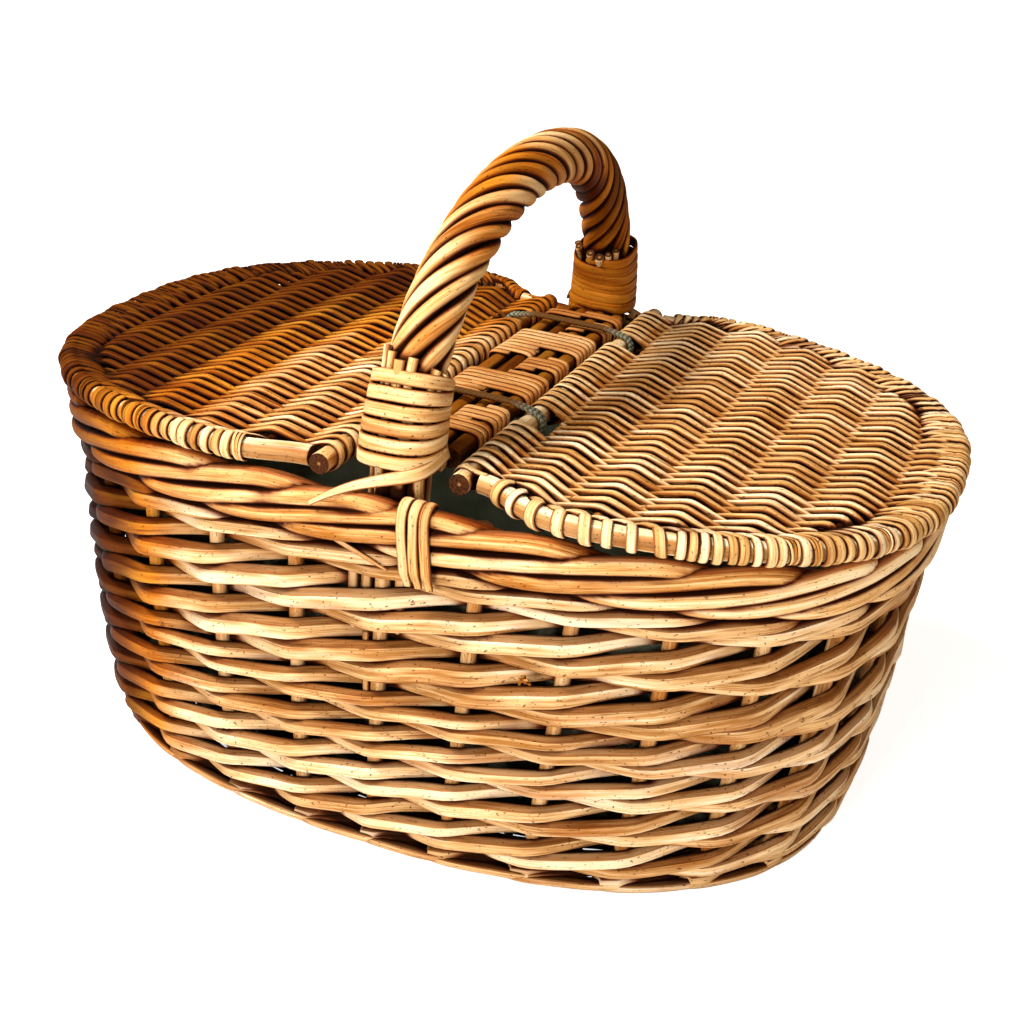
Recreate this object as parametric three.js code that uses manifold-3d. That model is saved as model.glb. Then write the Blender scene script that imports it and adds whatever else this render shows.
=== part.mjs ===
// Oval willow picnic basket with two hinged lids, a fixed bar between them and a roped bow handle.
// Units are millimetres, +Z is up, X runs along the basket and -Y is its front.
// The origin is under the middle of the base, on the surface that the basket stands on.
import * as THREE from 'three';
import { mergeVertices } from 'three/addons/utils/BufferGeometryUtils.js';
import Module from 'manifold-3d';

const wasm = await Module();
wasm.setup();

// Clearances
const seatGap = 0.3; // between pieces that lie on each other
const turnGap = 0.5; // round a piece that turns
const overrun = 2; // how far a cut passes the face that it opens

// Outside of the body: an oval that opens quickly above its rounded foot
const baseHalfLength = 198;
const baseHalfWidth = 152;
const rimHalfLength = 228;
const rimHalfWidth = 168;
const rimDip = 7; // how much lower the border lies at the two ends
const basePower = 2.3; // squareness of the oval at the foot
const rimPower = 2.65; // and at the rim
const flarePower = 0.34; // a low power opens the wall early
const ringSteps = 36; // straight facets of a plain ring

// Base, wall and stakes
const baseThickness = 6;
const footThickness = 7.5;
const lowerBandMiddle = 55;
const bandSeam = 95; // height where the lower and the upper band of weave meet
const bandTop = 150;
const wallThickness = 20;
const stakeCount = 28;
const endStakes = 2; // stakes on each side of a tip whose rods run lengthwise under the basket
const stakeRadius = 3.3;
const stakeInset = 12.6; // from the outside of the wall to the middle of a stake
const stakeDrop = 6; // from the top of the border to the top of a stake
const stakeBend = 14; // radius of the bend from the wall into the base
const lowerLayer = baseThickness + seatGap + stakeRadius; // height of the lengthwise rods in the base
const upperLayer = lowerLayer + 2 * stakeRadius + seatGap; // height of the crosswise rods on top of them
const footTop = upperLayer + stakeBend; // the foot stands outside the bends
const grooveFlare = 1.2; // how much wider a stake's groove is at its mouth
const lowerGapShares = [0.333, 0.667]; // rows of gaps in the lower band of weave, of its height
const upperGapShares = [0.45]; // and in the upper band
const stakeRidgeShares = [0.14, 0.86]; // where the weave stands out at a stake, between two rows of gaps
const middleRidgeShares = [0.32, 0.68]; // and halfway between two stakes
const gapWeb = 0.8; // from a gap to the groove of the stake behind it
const middleGapInset = 9.5; // depth of a gap halfway between two stakes
const rodSides = 5;

// Border: thick rods stacked along the outside of the rim
const borderRods = 4;
const borderRodRadius = 5.1;
const borderPitch = 10.5;
const borderInset = 3;
const borderSides = 6;
const rimHeight = bandTop + seatGap + 2 * borderRodRadius + (borderRods - 1) * borderPitch;
const stakeTop = rimHeight - stakeDrop;

// Cloth liner
const linerThickness = 1.2;
const linerInset = 21.6;
const linerFloorInset = 34;
const linerKnee = 38; // height where the liner's floor has curved into its wall
const linerDrop = 1; // from the top of the weave to the top of the liner
const linerTop = bandTop - linerDrop;

// Lids: their outline stands a little outside the rim
const endOverhang = 7;
const sideOverhang = 6;
const lidHalfLength = rimHalfLength + endOverhang;
const lidHalfWidth = rimHalfWidth + sideOverhang;
const hingeX = 31;
const stickRadius = 6.5;
const hingeZ = rimHeight + turnGap + stickRadius;
const stickSides = 8;
const neckRadius = 4.7; // hinge stick where a tie goes round it
const neckLength = 10;
const cornerReach = 26; // how far from the hinge line the lid draws in to its corners
const cornerLap = 1; // how far the hinge stick stands past the bow stick
const bowEnd = 4; // straight end of the bow stick, square to the hinge stick
const bowSteps = 24;
const bowCrowding = 1.5; // over 1, it puts more of the bow's steps near the corners
const bowSides = 6;
const panelTop = 6.5; // from the hinge axis
const panelBottom = 5.5;
const ribRadius = 3.5;
const ribCount = 5;
const ribSides = 6;
// How far each corner of a lid lies in from the outside of the rim
const leftCornerInset = { front: 5, back: 30 };
const rightCornerInset = { front: 18, back: 18 };

// Bar between the lids
const barRods = 4;
const barRodRadius = 5;
const barPitch = 10.4;
const barSides = 8;

// Flat skein wrapped round the bar in four bands
const wrapWidth = 5;
const wrapThickness = 1.5;
const wrapPitch = 5.8;
const wrapSteps = 8;
const wrapPower = 6; // squareness of a turn
const wrapBandShares = [-0.79, -0.22, 0.4, 0.87]; // middle of each band, of half the bar's length
const wrapBandTurns = [3, 5, 5, 2];

// Hinge ties: two turns of cord round both hinge sticks and the bar
const frontTieShare = -0.485; // place of the front tie, of half the bar's length
const backTieShare = 0.665;
const tieRadius = 1.2;
const tiePitch = 3;
const tieTurns = 2;
const tieSides = 5;
const tieRise = 2.1; // how much a tie rises over the bar's wrapping
const tieRiseX = 20;
const tieArcSteps = 6; // steps round each hinge stick

// Handle: a core bow with rods twisted round it
const footInset = 25; // from the outside of the rim to the middle of the handle's foot
const footZ = bandTop + 2 * seatGap;
const handleRise = 112; // from the hinge height to the middle of the handle at its top
const handlePower = 2.19; // squareness of the arch
const handleLeanX = 2;
const handleLeanY = 4;
const archPoints = 16;
const coreRadius = 7.2;
const coreSteps = 30;
const coreSides = 6;
const handleRods = 8;
const handleRodRadius = 3.3;
const handleRodCircle = 11.6; // from the middle of the handle to the middle of a rod
const handleTurns = 2.75; // how often the rods go round the core, as a right hand screw does
const straightLength = 90; // untwisted length at each foot
const straightSteps = 3;
const twistSteps = 30;

// Collars: flat skein wound round each foot of the handle
const collarStart = 46; // along the handle from the end of its foot
const collarTurns = 6.5;
const collarPitch = 6.4;
const collarWidth = 4.5;
const collarThickness = 1.6;
const collarInner = 15.9;
const collarSpread = 1.6; // how much wider the lowest turn is
const collarPower = 3;
const collarSteps = 12;

// Lashes from the collars down over the border
const lashWidth = 16;
const lashThickness = 1.6;
const lashX = 19;
const lashLift = 3; // from the top of the weave to the end of a lash
const lashBendSteps = 5;

const footY = rimHalfWidth - footInset;
const handleReach = handleRodCircle + handleRodRadius;
const fullTurn = 2 * Math.PI;
const quarterTurn = Math.PI / 2;
const nextTurnShare = 0.7; // of a turn: sections further apart than this count as neighbouring turns
const lashStart = 1.5 * quarterTurn; // angle round the top rod where a lash begins, inside the rim
const basket = new THREE.Group();

const willow = () => new THREE.MeshStandardMaterial({ color: 0xc99247, roughness: 0.5, metalness: 0 });
const orangeWillow = () => new THREE.MeshStandardMaterial({ color: 0xc07f33, roughness: 0.42, metalness: 0 });
const paleSkein = () => new THREE.MeshStandardMaterial({ color: 0xd3a055, roughness: 0.45, metalness: 0 });
const greyCord = () => new THREE.MeshStandardMaterial({ color: 0x9aa08e, roughness: 0.7, metalness: 0 });
const linerCloth = () => new THREE.MeshStandardMaterial({ color: 0xaeb9a2, roughness: 0.9, metalness: 0 });

function addPiece(parent, name, geometry, material) {
  const mesh = new THREE.Mesh(geometry, material);
  mesh.name = name;
  parent.add(mesh);
  return mesh;
}

// Signed power, for ovals that are squarer than an ellipse
function bend(value, power) {
  return Math.sign(value) * Math.abs(value) ** power;
}

// A point of the body at an angle round it and a height, a given distance in from the outside
function bodyPoint(angle, height, inset = 0) {
  const flare = (Math.max(height, 0) / rimHeight) ** flarePower;
  const halfLength = THREE.MathUtils.lerp(baseHalfLength, rimHalfLength, flare);
  const halfWidth = THREE.MathUtils.lerp(baseHalfWidth, rimHalfWidth, flare);
  const power = THREE.MathUtils.lerp(basePower, rimPower, flare);
  const point = new THREE.Vector3(
    halfLength * bend(Math.cos(angle), 2 / power),
    halfWidth * bend(Math.sin(angle), 2 / power),
    0,
  );
  const outward = new THREE.Vector3(
    bend(point.x / halfLength, power - 1) / halfLength,
    bend(point.y / halfWidth, power - 1) / halfWidth,
    0,
  ).normalize();
  point.addScaledVector(outward, -inset);
  const dip = Math.max(0, Math.abs(point.x) - hingeX) / (rimHalfLength - hingeX);
  point.z = height - rimDip * dip * (height / rimHeight);
  point.outward = outward;
  return point;
}

// Angles that lie at even steps of length round the rim, starting at the right-hand tip
function evenAngles(count) {
  const samplesPerQuarter = 500;
  const samples = 4 * samplesPerQuarter;
  const lengths = [0];
  for (let i = 1; i <= samples; i++) {
    const from = bodyPoint(((i - 1) / samples) * fullTurn, rimHeight);
    const to = bodyPoint((i / samples) * fullTurn, rimHeight);
    lengths.push(lengths[i - 1] + Math.hypot(to.x - from.x, to.y - from.y));
  }
  const angles = [];
  let i = 0;
  for (let k = 0; k < count; k++) {
    const target = (k / count) * lengths[samples];
    while (lengths[i + 1] < target) i++;
    const share = (target - lengths[i]) / (lengths[i + 1] - lengths[i]);
    angles.push(((i + share) / samples) * fullTurn);
  }
  return angles;
}

// A closed solid through a row of sections with equal point counts.
// A ring joins its last section to its first, and anything else gets two flat ends.
function loftGeometry(sections, ring = false) {
  const size = sections[0].length;
  const positions = sections.flatMap((section) => section.flatMap((p) => [p.x, p.y, p.z]));
  const faces = [];
  const spans = ring ? sections.length : sections.length - 1;
  for (let i = 0; i < spans; i++) {
    const next = (i + 1) % sections.length;
    for (let j = 0; j < size; j++) {
      const a = i * size + j;
      const b = i * size + ((j + 1) % size);
      const c = next * size + ((j + 1) % size);
      const d = next * size + j;
      faces.push(a, b, c, a, c, d);
    }
  }
  if (!ring) {
    const last = (sections.length - 1) * size;
    for (let j = 1; j < size - 1; j++) {
      faces.push(0, j + 1, j, last, last + j, last + j + 1);
    }
  }
  const corner = (i) => new THREE.Vector3().fromArray(positions, 3 * i);
  let volume = 0;
  for (let i = 0; i < faces.length; i += 3) {
    const cross = corner(faces[i + 1]).cross(corner(faces[i + 2]));
    volume += corner(faces[i]).dot(cross);
  }
  if (volume < 0) faces.reverse();
  const geometry = new THREE.BufferGeometry();
  geometry.setAttribute('position', new THREE.Float32BufferAttribute(positions, 3));
  geometry.setIndex(faces);
  geometry.computeVertexNormals();
  return geometry;
}

// A curve whose even steps fall on its own points, so that a rod's sections sit where they are asked for
class Route extends THREE.CatmullRomCurve3 {
  getUtoTmapping(u) {
    return u;
  }
}

function rodGeometry(points, radius, sides) {
  const circle = new THREE.EllipseCurve(0, 0, radius, radius, 0, fullTurn);
  const outline = new THREE.Shape(circle.getPoints(sides).slice(0, sides));
  const options = { steps: points.length - 1, bevelEnabled: false, extrudePath: new Route(points) };
  return new THREE.ExtrudeGeometry(outline, options);
}

// A flat strip wound round an oval core. place(step) gives the middle of the turn, the two half axes
// with their directions, and the direction that the winding advances in.
function windingSections(steps, stepsPerTurn, place, power, width, thickness) {
  const sections = [];
  for (let i = 0; i <= steps; i++) {
    const { middle, u, v, axis, halfU, halfV } = place(i / stepsPerTurn);
    const angle = ((i + 0.5) / stepsPerTurn) * fullTurn;
    const across = bend(Math.cos(angle), 2 / power);
    const up = bend(Math.sin(angle), 2 / power);
    const outward = new THREE.Vector3()
      .addScaledVector(u, bend(across, power - 1) / halfU)
      .addScaledVector(v, bend(up, power - 1) / halfV)
      .normalize();
    const point = middle.clone().addScaledVector(u, halfU * across).addScaledVector(v, halfV * up);
    const corner = (out, along) => point.clone()
      .addScaledVector(outward, (out * thickness) / 2)
      .addScaledVector(axis, (along * width) / 2);
    sections.push([corner(-1, -1), corner(1, -1), corner(1, 1), corner(-1, 1)]);
  }
  return sections;
}

// Least distance between the points of sections that lie about a turn or more apart
function leastGap(sections, stepsPerTurn) {
  let least = Infinity;
  const apart = Math.ceil(nextTurnShare * stepsPerTurn);
  for (let i = 0; i < sections.length; i++) {
    for (let j = i + apart; j < Math.min(sections.length, i + 2 * stepsPerTurn); j++) {
      for (const p of sections[i]) {
        for (const q of sections[j]) least = Math.min(least, p.distanceTo(q));
      }
    }
  }
  return least;
}

// Solid for cutting, from a closed geometry
function toSolid(geometry) {
  const bare = geometry.clone();
  bare.deleteAttribute('normal');
  bare.deleteAttribute('uv');
  const merged = mergeVertices(bare);
  return new wasm.Manifold(new wasm.Mesh({
    numProp: 3,
    vertProperties: new Float32Array(merged.attributes.position.array),
    triVerts: new Uint32Array(merged.index.array),
  }));
}

function fromSolid(solid) {
  const mesh = solid.getMesh();
  const geometry = new THREE.BufferGeometry();
  geometry.setAttribute('position', new THREE.Float32BufferAttribute(mesh.vertProperties, 3));
  geometry.setIndex(Array.from(mesh.triVerts));
  geometry.computeVertexNormals();
  return geometry;
}

// Base and foot
const ringAngles = evenAngles(ringSteps);

function bodyLoop(height, inset) {
  return ringAngles.map((angle) => bodyPoint(angle, height, inset));
}

function makeBase() {
  const loops = [0, baseThickness / 3, baseThickness].map((height) => bodyLoop(height, 0));
  addPiece(basket, 'base_weave', loftGeometry(loops), willow());
  const footBottom = baseThickness + seatGap;
  const footMiddle = (footBottom + footTop) / 2;
  const sections = ringAngles.map((angle) => [
    bodyPoint(angle, footBottom, 0),
    bodyPoint(angle, footMiddle, 0),
    bodyPoint(angle, footTop, 0),
    bodyPoint(angle, footTop, footThickness),
    bodyPoint(angle, footMiddle, footThickness),
    bodyPoint(angle, footBottom, footThickness),
  ]);
  addPiece(basket, 'foot_wale', loftGeometry(sections, true), willow());
}

// Wall: bands of weave with rows of gaps outside and an upright groove for every stake inside
const halfStakeAngles = evenAngles(2 * stakeCount);
const stakeAngles = halfStakeAngles.filter((angle, i) => i % 2 === 0);
const grooveHalfWidth = stakeRadius + turnGap;
const grooveInset = stakeInset - stakeRadius - turnGap;

// Outside of the weave at one place round the wall: it stands out between two rows of gaps.
// The topmost row is another gap, unless the border rests on the weave there.
function weaveProfile(rows, ridgeShares, gapInset, topInset = gapInset) {
  const profile = [[rows[0], gapInset]];
  for (let i = 1; i < rows.length; i++) {
    for (const share of ridgeShares) {
      profile.push([THREE.MathUtils.lerp(rows[i - 1], rows[i], share), 0]);
    }
    profile.push([rows[i], gapInset]);
  }
  profile[profile.length - 1] = [rows[rows.length - 1], topInset];
  return profile;
}

function wallColumn(angle, profile, innerHeights, sideways, inset) {
  const shifted = (height, depth) => {
    const point = bodyPoint(angle, height, depth);
    const along = new THREE.Vector3(-point.outward.y, point.outward.x, 0);
    return point.addScaledVector(along, sideways);
  };
  const outside = profile.map(([height, depth]) => shifted(height, depth));
  const inside = innerHeights.map((height) => shifted(height, inset)).reverse();
  return [...outside, ...inside];
}

function makeWallBand(name, innerHeights, gapShares, topInset) {
  const bottom = innerHeights[0];
  const top = innerHeights[innerHeights.length - 1];
  const rows = [bottom, ...gapShares.map((share) => THREE.MathUtils.lerp(bottom, top, share)), top];
  const atStake = weaveProfile(rows, stakeRidgeShares, grooveInset - gapWeb, topInset);
  const between = weaveProfile(rows, middleRidgeShares, middleGapInset, topInset);
  const mouth = grooveHalfWidth + grooveFlare;
  const columns = [
    { sideways: -mouth, inset: wallThickness },
    { sideways: -grooveHalfWidth, inset: grooveInset },
    { sideways: grooveHalfWidth, inset: grooveInset },
    { sideways: mouth, inset: wallThickness },
  ];
  const sections = stakeAngles.flatMap((angle, i) => [
    ...columns.map((column) => wallColumn(angle, atStake, innerHeights, column.sideways, column.inset)),
    wallColumn(halfStakeAngles[2 * i + 1], between, innerHeights, 0, wallThickness),
  ]);
  addPiece(basket, name, loftGeometry(sections, true), willow());
}

// Stakes: each rod runs down one wall, across under the basket and up the opposite wall.
// Lengthwise rods lie below, crosswise rods on top of them.
function stakeHalf(angle, layerHeight, inward) {
  // A stake under the handle ends below the handle's foot
  const side = Math.abs(bodyPoint(angle, stakeTop, stakeInset).x);
  const tops = side < handleReach + stakeRadius ? [footZ - seatGap] : [stakeTop, bandTop];
  const points = [...tops, bandSeam, lowerBandMiddle].map(
    (height) => bodyPoint(angle, height, stakeInset),
  );
  const start = bodyPoint(angle, layerHeight + stakeBend, stakeInset);
  for (const turn of [0, quarterTurn / 2, quarterTurn]) {
    const point = start.clone().addScaledVector(inward, stakeBend * (1 - Math.cos(turn)));
    point.z = layerHeight + (start.z - layerHeight) * (1 - Math.sin(turn));
    points.push(point);
  }
  return points;
}

function makeStakes() {
  const half = stakeCount / 2;
  let number = 0;
  const addStake = (first, second, layer, inward) => {
    number += 1;
    const there = stakeHalf(stakeAngles[first], layer, inward);
    const back = stakeHalf(stakeAngles[second], layer, inward.clone().negate()).reverse();
    const name = `through_stake_${String(number).padStart(2, '0')}`;
    addPiece(basket, name, rodGeometry([...there, ...back], stakeRadius, rodSides), willow());
  };
  for (let k = -endStakes; k <= endStakes; k++) {
    addStake((k + stakeCount) % stakeCount, half - k, lowerLayer, new THREE.Vector3(-1, 0, 0));
  }
  for (let k = endStakes + 1; k < half - endStakes; k++) {
    addStake(k, stakeCount - k, upperLayer, new THREE.Vector3(0, -1, 0));
  }
}

// Border
function makeBorder() {
  for (let k = 0; k < borderRods; k++) {
    const height = bandTop + seatGap + borderRodRadius + k * borderPitch;
    const sections = ringAngles.map((angle) => {
      const section = [];
      for (let i = 0; i < borderSides; i++) {
        const turn = (i / borderSides) * fullTurn;
        const point = bodyPoint(angle, height, borderInset - borderRodRadius * Math.cos(turn));
        point.z += borderRodRadius * Math.sin(turn);
        section.push(point);
      }
      return section;
    });
    addPiece(basket, `border_rod_${k + 1}`, loftGeometry(sections, true), orangeWillow());
  }
}

// Liner: a thin cloth cup inside the stakes
function makeLiner() {
  const floor = upperLayer + stakeRadius + turnGap;
  const middle = (linerKnee + linerTop) / 2;
  const profile = [
    [floor, linerFloorInset],
    [linerKnee, linerInset],
    [middle, linerInset],
    [linerTop, linerInset],
  ];
  const outside = profile.map(([height, inset]) => bodyLoop(height, inset));
  const inside = profile.map(([height, inset], i) => {
    const raised = i === 0 ? height + linerThickness : height;
    return bodyLoop(raised, inset + linerThickness);
  });
  addPiece(basket, 'cloth_liner', loftGeometry([...outside, ...inside.reverse()]), linerCloth());
}

// Handle
function archCurve() {
  const points = [
    new THREE.Vector3(0, -footY, footZ),
    new THREE.Vector3(0, -footY, (footZ + hingeZ) / 2),
  ];
  for (let i = 0; i <= archPoints; i++) {
    const turn = (i / archPoints) * Math.PI;
    const rise = Math.abs(Math.sin(turn)) ** (2 / handlePower);
    const side = -bend(Math.cos(turn), 2 / handlePower);
    points.push(new THREE.Vector3(
      handleLeanX * Math.sin(turn) ** 2,
      footY * side + handleLeanY * Math.sin(turn) ** 2,
      hingeZ + handleRise * rise,
    ));
  }
  points.push(new THREE.Vector3(0, footY, (footZ + hingeZ) / 2));
  points.push(new THREE.Vector3(0, footY, footZ));
  return new THREE.CatmullRomCurve3(points);
}

const arch = archCurve();
const archLength = arch.getLength();

// The handle's middle, its direction and two directions square to it, a distance along from the front foot
function archFrame(distance) {
  const share = THREE.MathUtils.clamp(distance / archLength, 0, 1);
  const axis = arch.getTangentAt(share);
  const u = new THREE.Vector3(1, 0, 0).addScaledVector(axis, -axis.x).normalize();
  const v = new THREE.Vector3().crossVectors(axis, u);
  return { middle: arch.getPointAt(share), axis, u, v };
}

function makeHandle() {
  const corePoints = [];
  for (let i = 0; i <= coreSteps; i++) {
    corePoints.push(archFrame((i / coreSteps) * archLength).middle);
  }
  addPiece(basket, 'handle_core', rodGeometry(corePoints, coreRadius, coreSides), willow());
  const twistLength = archLength - 2 * straightLength;
  const distances = [];
  for (let i = 0; i < straightSteps; i++) {
    distances.push((i / straightSteps) * straightLength);
  }
  for (let i = 0; i <= twistSteps; i++) {
    distances.push(straightLength + (i / twistSteps) * twistLength);
  }
  for (let i = 1; i <= straightSteps; i++) {
    distances.push(archLength - (1 - i / straightSteps) * straightLength);
  }
  for (let k = 0; k < handleRods; k++) {
    const points = distances.map((distance) => {
      const { middle, u, v } = archFrame(distance);
      const twisted = THREE.MathUtils.clamp(distance - straightLength, 0, twistLength);
      const turn = ((k + 0.5) / handleRods + (twisted / twistLength) * handleTurns) * fullTurn;
      return middle
        .addScaledVector(u, handleRodCircle * Math.cos(turn))
        .addScaledVector(v, handleRodCircle * Math.sin(turn));
    });
    addPiece(basket, `handle_rod_${k + 1}`, rodGeometry(points, handleRodRadius, rodSides), orangeWillow());
  }
}

function makeCollar(name, sign) {
  const place = (turns) => {
    const distance = collarStart + collarPitch * turns;
    const frame = archFrame(sign > 0 ? distance : archLength - distance);
    const half = collarInner + collarThickness / 2 + collarSpread * (1 - turns / collarTurns);
    return { ...frame, halfU: half, halfV: half };
  };
  const steps = Math.round(collarTurns * collarSteps);
  const sections = windingSections(steps, collarSteps, place, collarPower, collarWidth, collarThickness);
  console.log(`${name}: least gap to itself ${leastGap(sections, collarSteps).toFixed(2)} mm`);
  addPiece(basket, name, loftGeometry(sections), paleSkein());
}

// Lashes: a strap over the border from the foot of each collar
function makeLash(name, side) {
  const topHeight = bandTop + seatGap + borderRodRadius + (borderRods - 1) * borderPitch;
  const reach = borderRodRadius + seatGap + lashThickness / 2;
  const angle = side * quarterTurn;
  const places = [];
  for (let i = 0; i < lashBendSteps; i++) {
    places.push({ height: topHeight, turn: lashStart * (1 - i / lashBendSteps) });
  }
  for (let k = borderRods - 1; k >= 0; k--) {
    places.push({ height: topHeight - (borderRods - 1 - k) * borderPitch, turn: 0 });
  }
  places.push({ height: bandTop + lashLift, turn: 0 });
  const sections = places.map(({ height, turn }) => {
    const corner = (sideways, out) => {
      const radius = reach + (out * lashThickness) / 2;
      const point = bodyPoint(angle, height, borderInset);
      point.y += side * radius * Math.cos(turn);
      point.z += radius * Math.sin(turn);
      point.x = lashX + (sideways * lashWidth) / 2;
      return point;
    };
    return [corner(-1, -1), corner(1, -1), corner(1, 1), corner(-1, 1)];
  });
  addPiece(basket, name, loftGeometry(sections), paleSkein());
}

// Bar between the lids, its wrapping and the hinge ties
const collarReach = collarInner + collarThickness + collarSpread;

const barHalfLength = footY - collarReach - seatGap;
const frontTie = frontTieShare * barHalfLength;
const backTie = backTieShare * barHalfLength;

function makeBar() {
  for (let k = 0; k < barRods; k++) {
    const geometry = new THREE.CylinderGeometry(barRodRadius, barRodRadius, 2 * barHalfLength, barSides);
    const rod = addPiece(basket, `bar_rod_${k + 1}`, geometry, willow());
    rod.position.set((k - (barRods - 1) / 2) * barPitch, 0, hingeZ);
  }
}

function makeBarWrap() {
  const halfU = ((barRods - 1) / 2) * barPitch + barRodRadius + 2 * seatGap + wrapThickness;
  const halfV = barRodRadius + wrapThickness;
  // The distance along the bar at each whole turn: close turns in a band, then one long turn to the next
  const stops = wrapBandShares.flatMap((share, k) => {
    const band = [];
    for (let i = 0; i <= wrapBandTurns[k]; i++) {
      band.push(share * barHalfLength + (i - wrapBandTurns[k] / 2) * wrapPitch);
    }
    return band;
  });
  const place = (turns) => {
    const whole = Math.min(Math.floor(turns), stops.length - 2);
    const y = THREE.MathUtils.lerp(stops[whole], stops[whole + 1], turns - whole);
    return {
      middle: new THREE.Vector3(0, y, hingeZ),
      u: new THREE.Vector3(1, 0, 0),
      v: new THREE.Vector3(0, 0, 1),
      axis: new THREE.Vector3(0, 1, 0),
      halfU,
      halfV,
    };
  };
  const steps = (stops.length - 1) * wrapSteps;
  const sections = windingSections(steps, wrapSteps, place, wrapPower, wrapWidth, wrapThickness);
  console.log(`bar_wrap: least gap to itself ${leastGap(sections, wrapSteps).toFixed(2)} mm`);
  addPiece(basket, 'bar_wrap', loftGeometry(sections), paleSkein());
}

function makeTie(name, y) {
  const radius = neckRadius + turnGap + tieRadius + seatGap;
  // One turn: round the right-hand stick, over the bar, round the left-hand stick and back under the bar
  const turnPoints = [];
  for (const side of [1, -1]) {
    turnPoints.push([side * tieRiseX, -side * (radius + tieRise)]);
    for (let i = 0; i <= tieArcSteps; i++) {
      const angle = (i / tieArcSteps) * Math.PI - quarterTurn;
      turnPoints.push([side * (hingeX + radius * Math.cos(angle)), side * radius * Math.sin(angle)]);
    }
    turnPoints.push([side * tieRiseX, side * (radius + tieRise)]);
  }
  const points = [];
  for (let i = 0; i <= tieTurns * turnPoints.length; i++) {
    const [x, z] = turnPoints[i % turnPoints.length];
    const along = (i / turnPoints.length - tieTurns / 2) * tiePitch;
    points.push(new THREE.Vector3(x, y + along, hingeZ + z));
  }
  addPiece(basket, name, rodGeometry(points, tieRadius, tieSides), greyCord());
}

// Lids, drawn with the hinge axis as origin and the lid towards +X
const droop = Math.atan(rimDip / (rimHalfLength - hingeX));

// Middle line of the bow stick, moved inwards by a distance; corners are given for -Y and +Y
function bowLine(corners, inset) {
  const halfLength = lidHalfLength - stickRadius;
  const halfWidth = lidHalfWidth - stickRadius;
  const startX = hingeX + stickRadius + seatGap + turnGap;
  const startTurn = Math.acos((startX / halfLength) ** (rimPower / 2));
  const fullY = halfWidth * Math.sin(startTurn) ** (2 / rimPower);
  const middle = (turn) => {
    const x = halfLength * Math.cos(turn) ** (2 / rimPower);
    const corner = turn < 0 ? corners.minus : corners.plus;
    const draw = fullY - (corner - cornerLap - stickRadius);
    const y = halfWidth * Math.abs(Math.sin(turn)) ** (2 / rimPower)
      - draw * Math.exp(-(((x - startX) / cornerReach) ** 2));
    return new THREE.Vector3(x - hingeX, Math.sign(turn) * y, 0);
  };
  const points = [];
  for (let i = 0; i <= bowSteps; i++) {
    const share = (2 * i) / bowSteps - 1;
    const turn = startTurn * Math.sign(share) * (1 - (1 - Math.abs(share)) ** bowCrowding);
    points.push(middle(turn));
  }
  const end = new THREE.Vector3(bowEnd, 0, 0);
  points.splice(1, 0, points[0].clone().add(end));
  points.splice(-1, 0, points[points.length - 1].clone().add(end));
  if (inset === 0) return points;
  return points.map((point, i) => {
    const before = points[Math.max(i - 1, 0)];
    const after = points[Math.min(i + 1, points.length - 1)];
    const along = after.clone().sub(before).normalize();
    return new THREE.Vector3(point.x - inset * along.y, point.y + inset * along.x, 0);
  });
}

// How far a line reaches from the middle at a distance from the hinge, on the side of sign
function reachAt(line, x, sign) {
  let reach = Infinity;
  for (let i = 0; i < line.length - 1; i++) {
    const [a, b] = [line[i], line[i + 1]];
    const onSide = sign * (a.y + b.y) > 0;
    if (onSide && (a.x - x) * (b.x - x) <= 0) {
      reach = Math.min(reach, Math.abs(THREE.MathUtils.mapLinear(x, a.x, b.x, a.y, b.y)));
    }
  }
  return reach;
}

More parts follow.
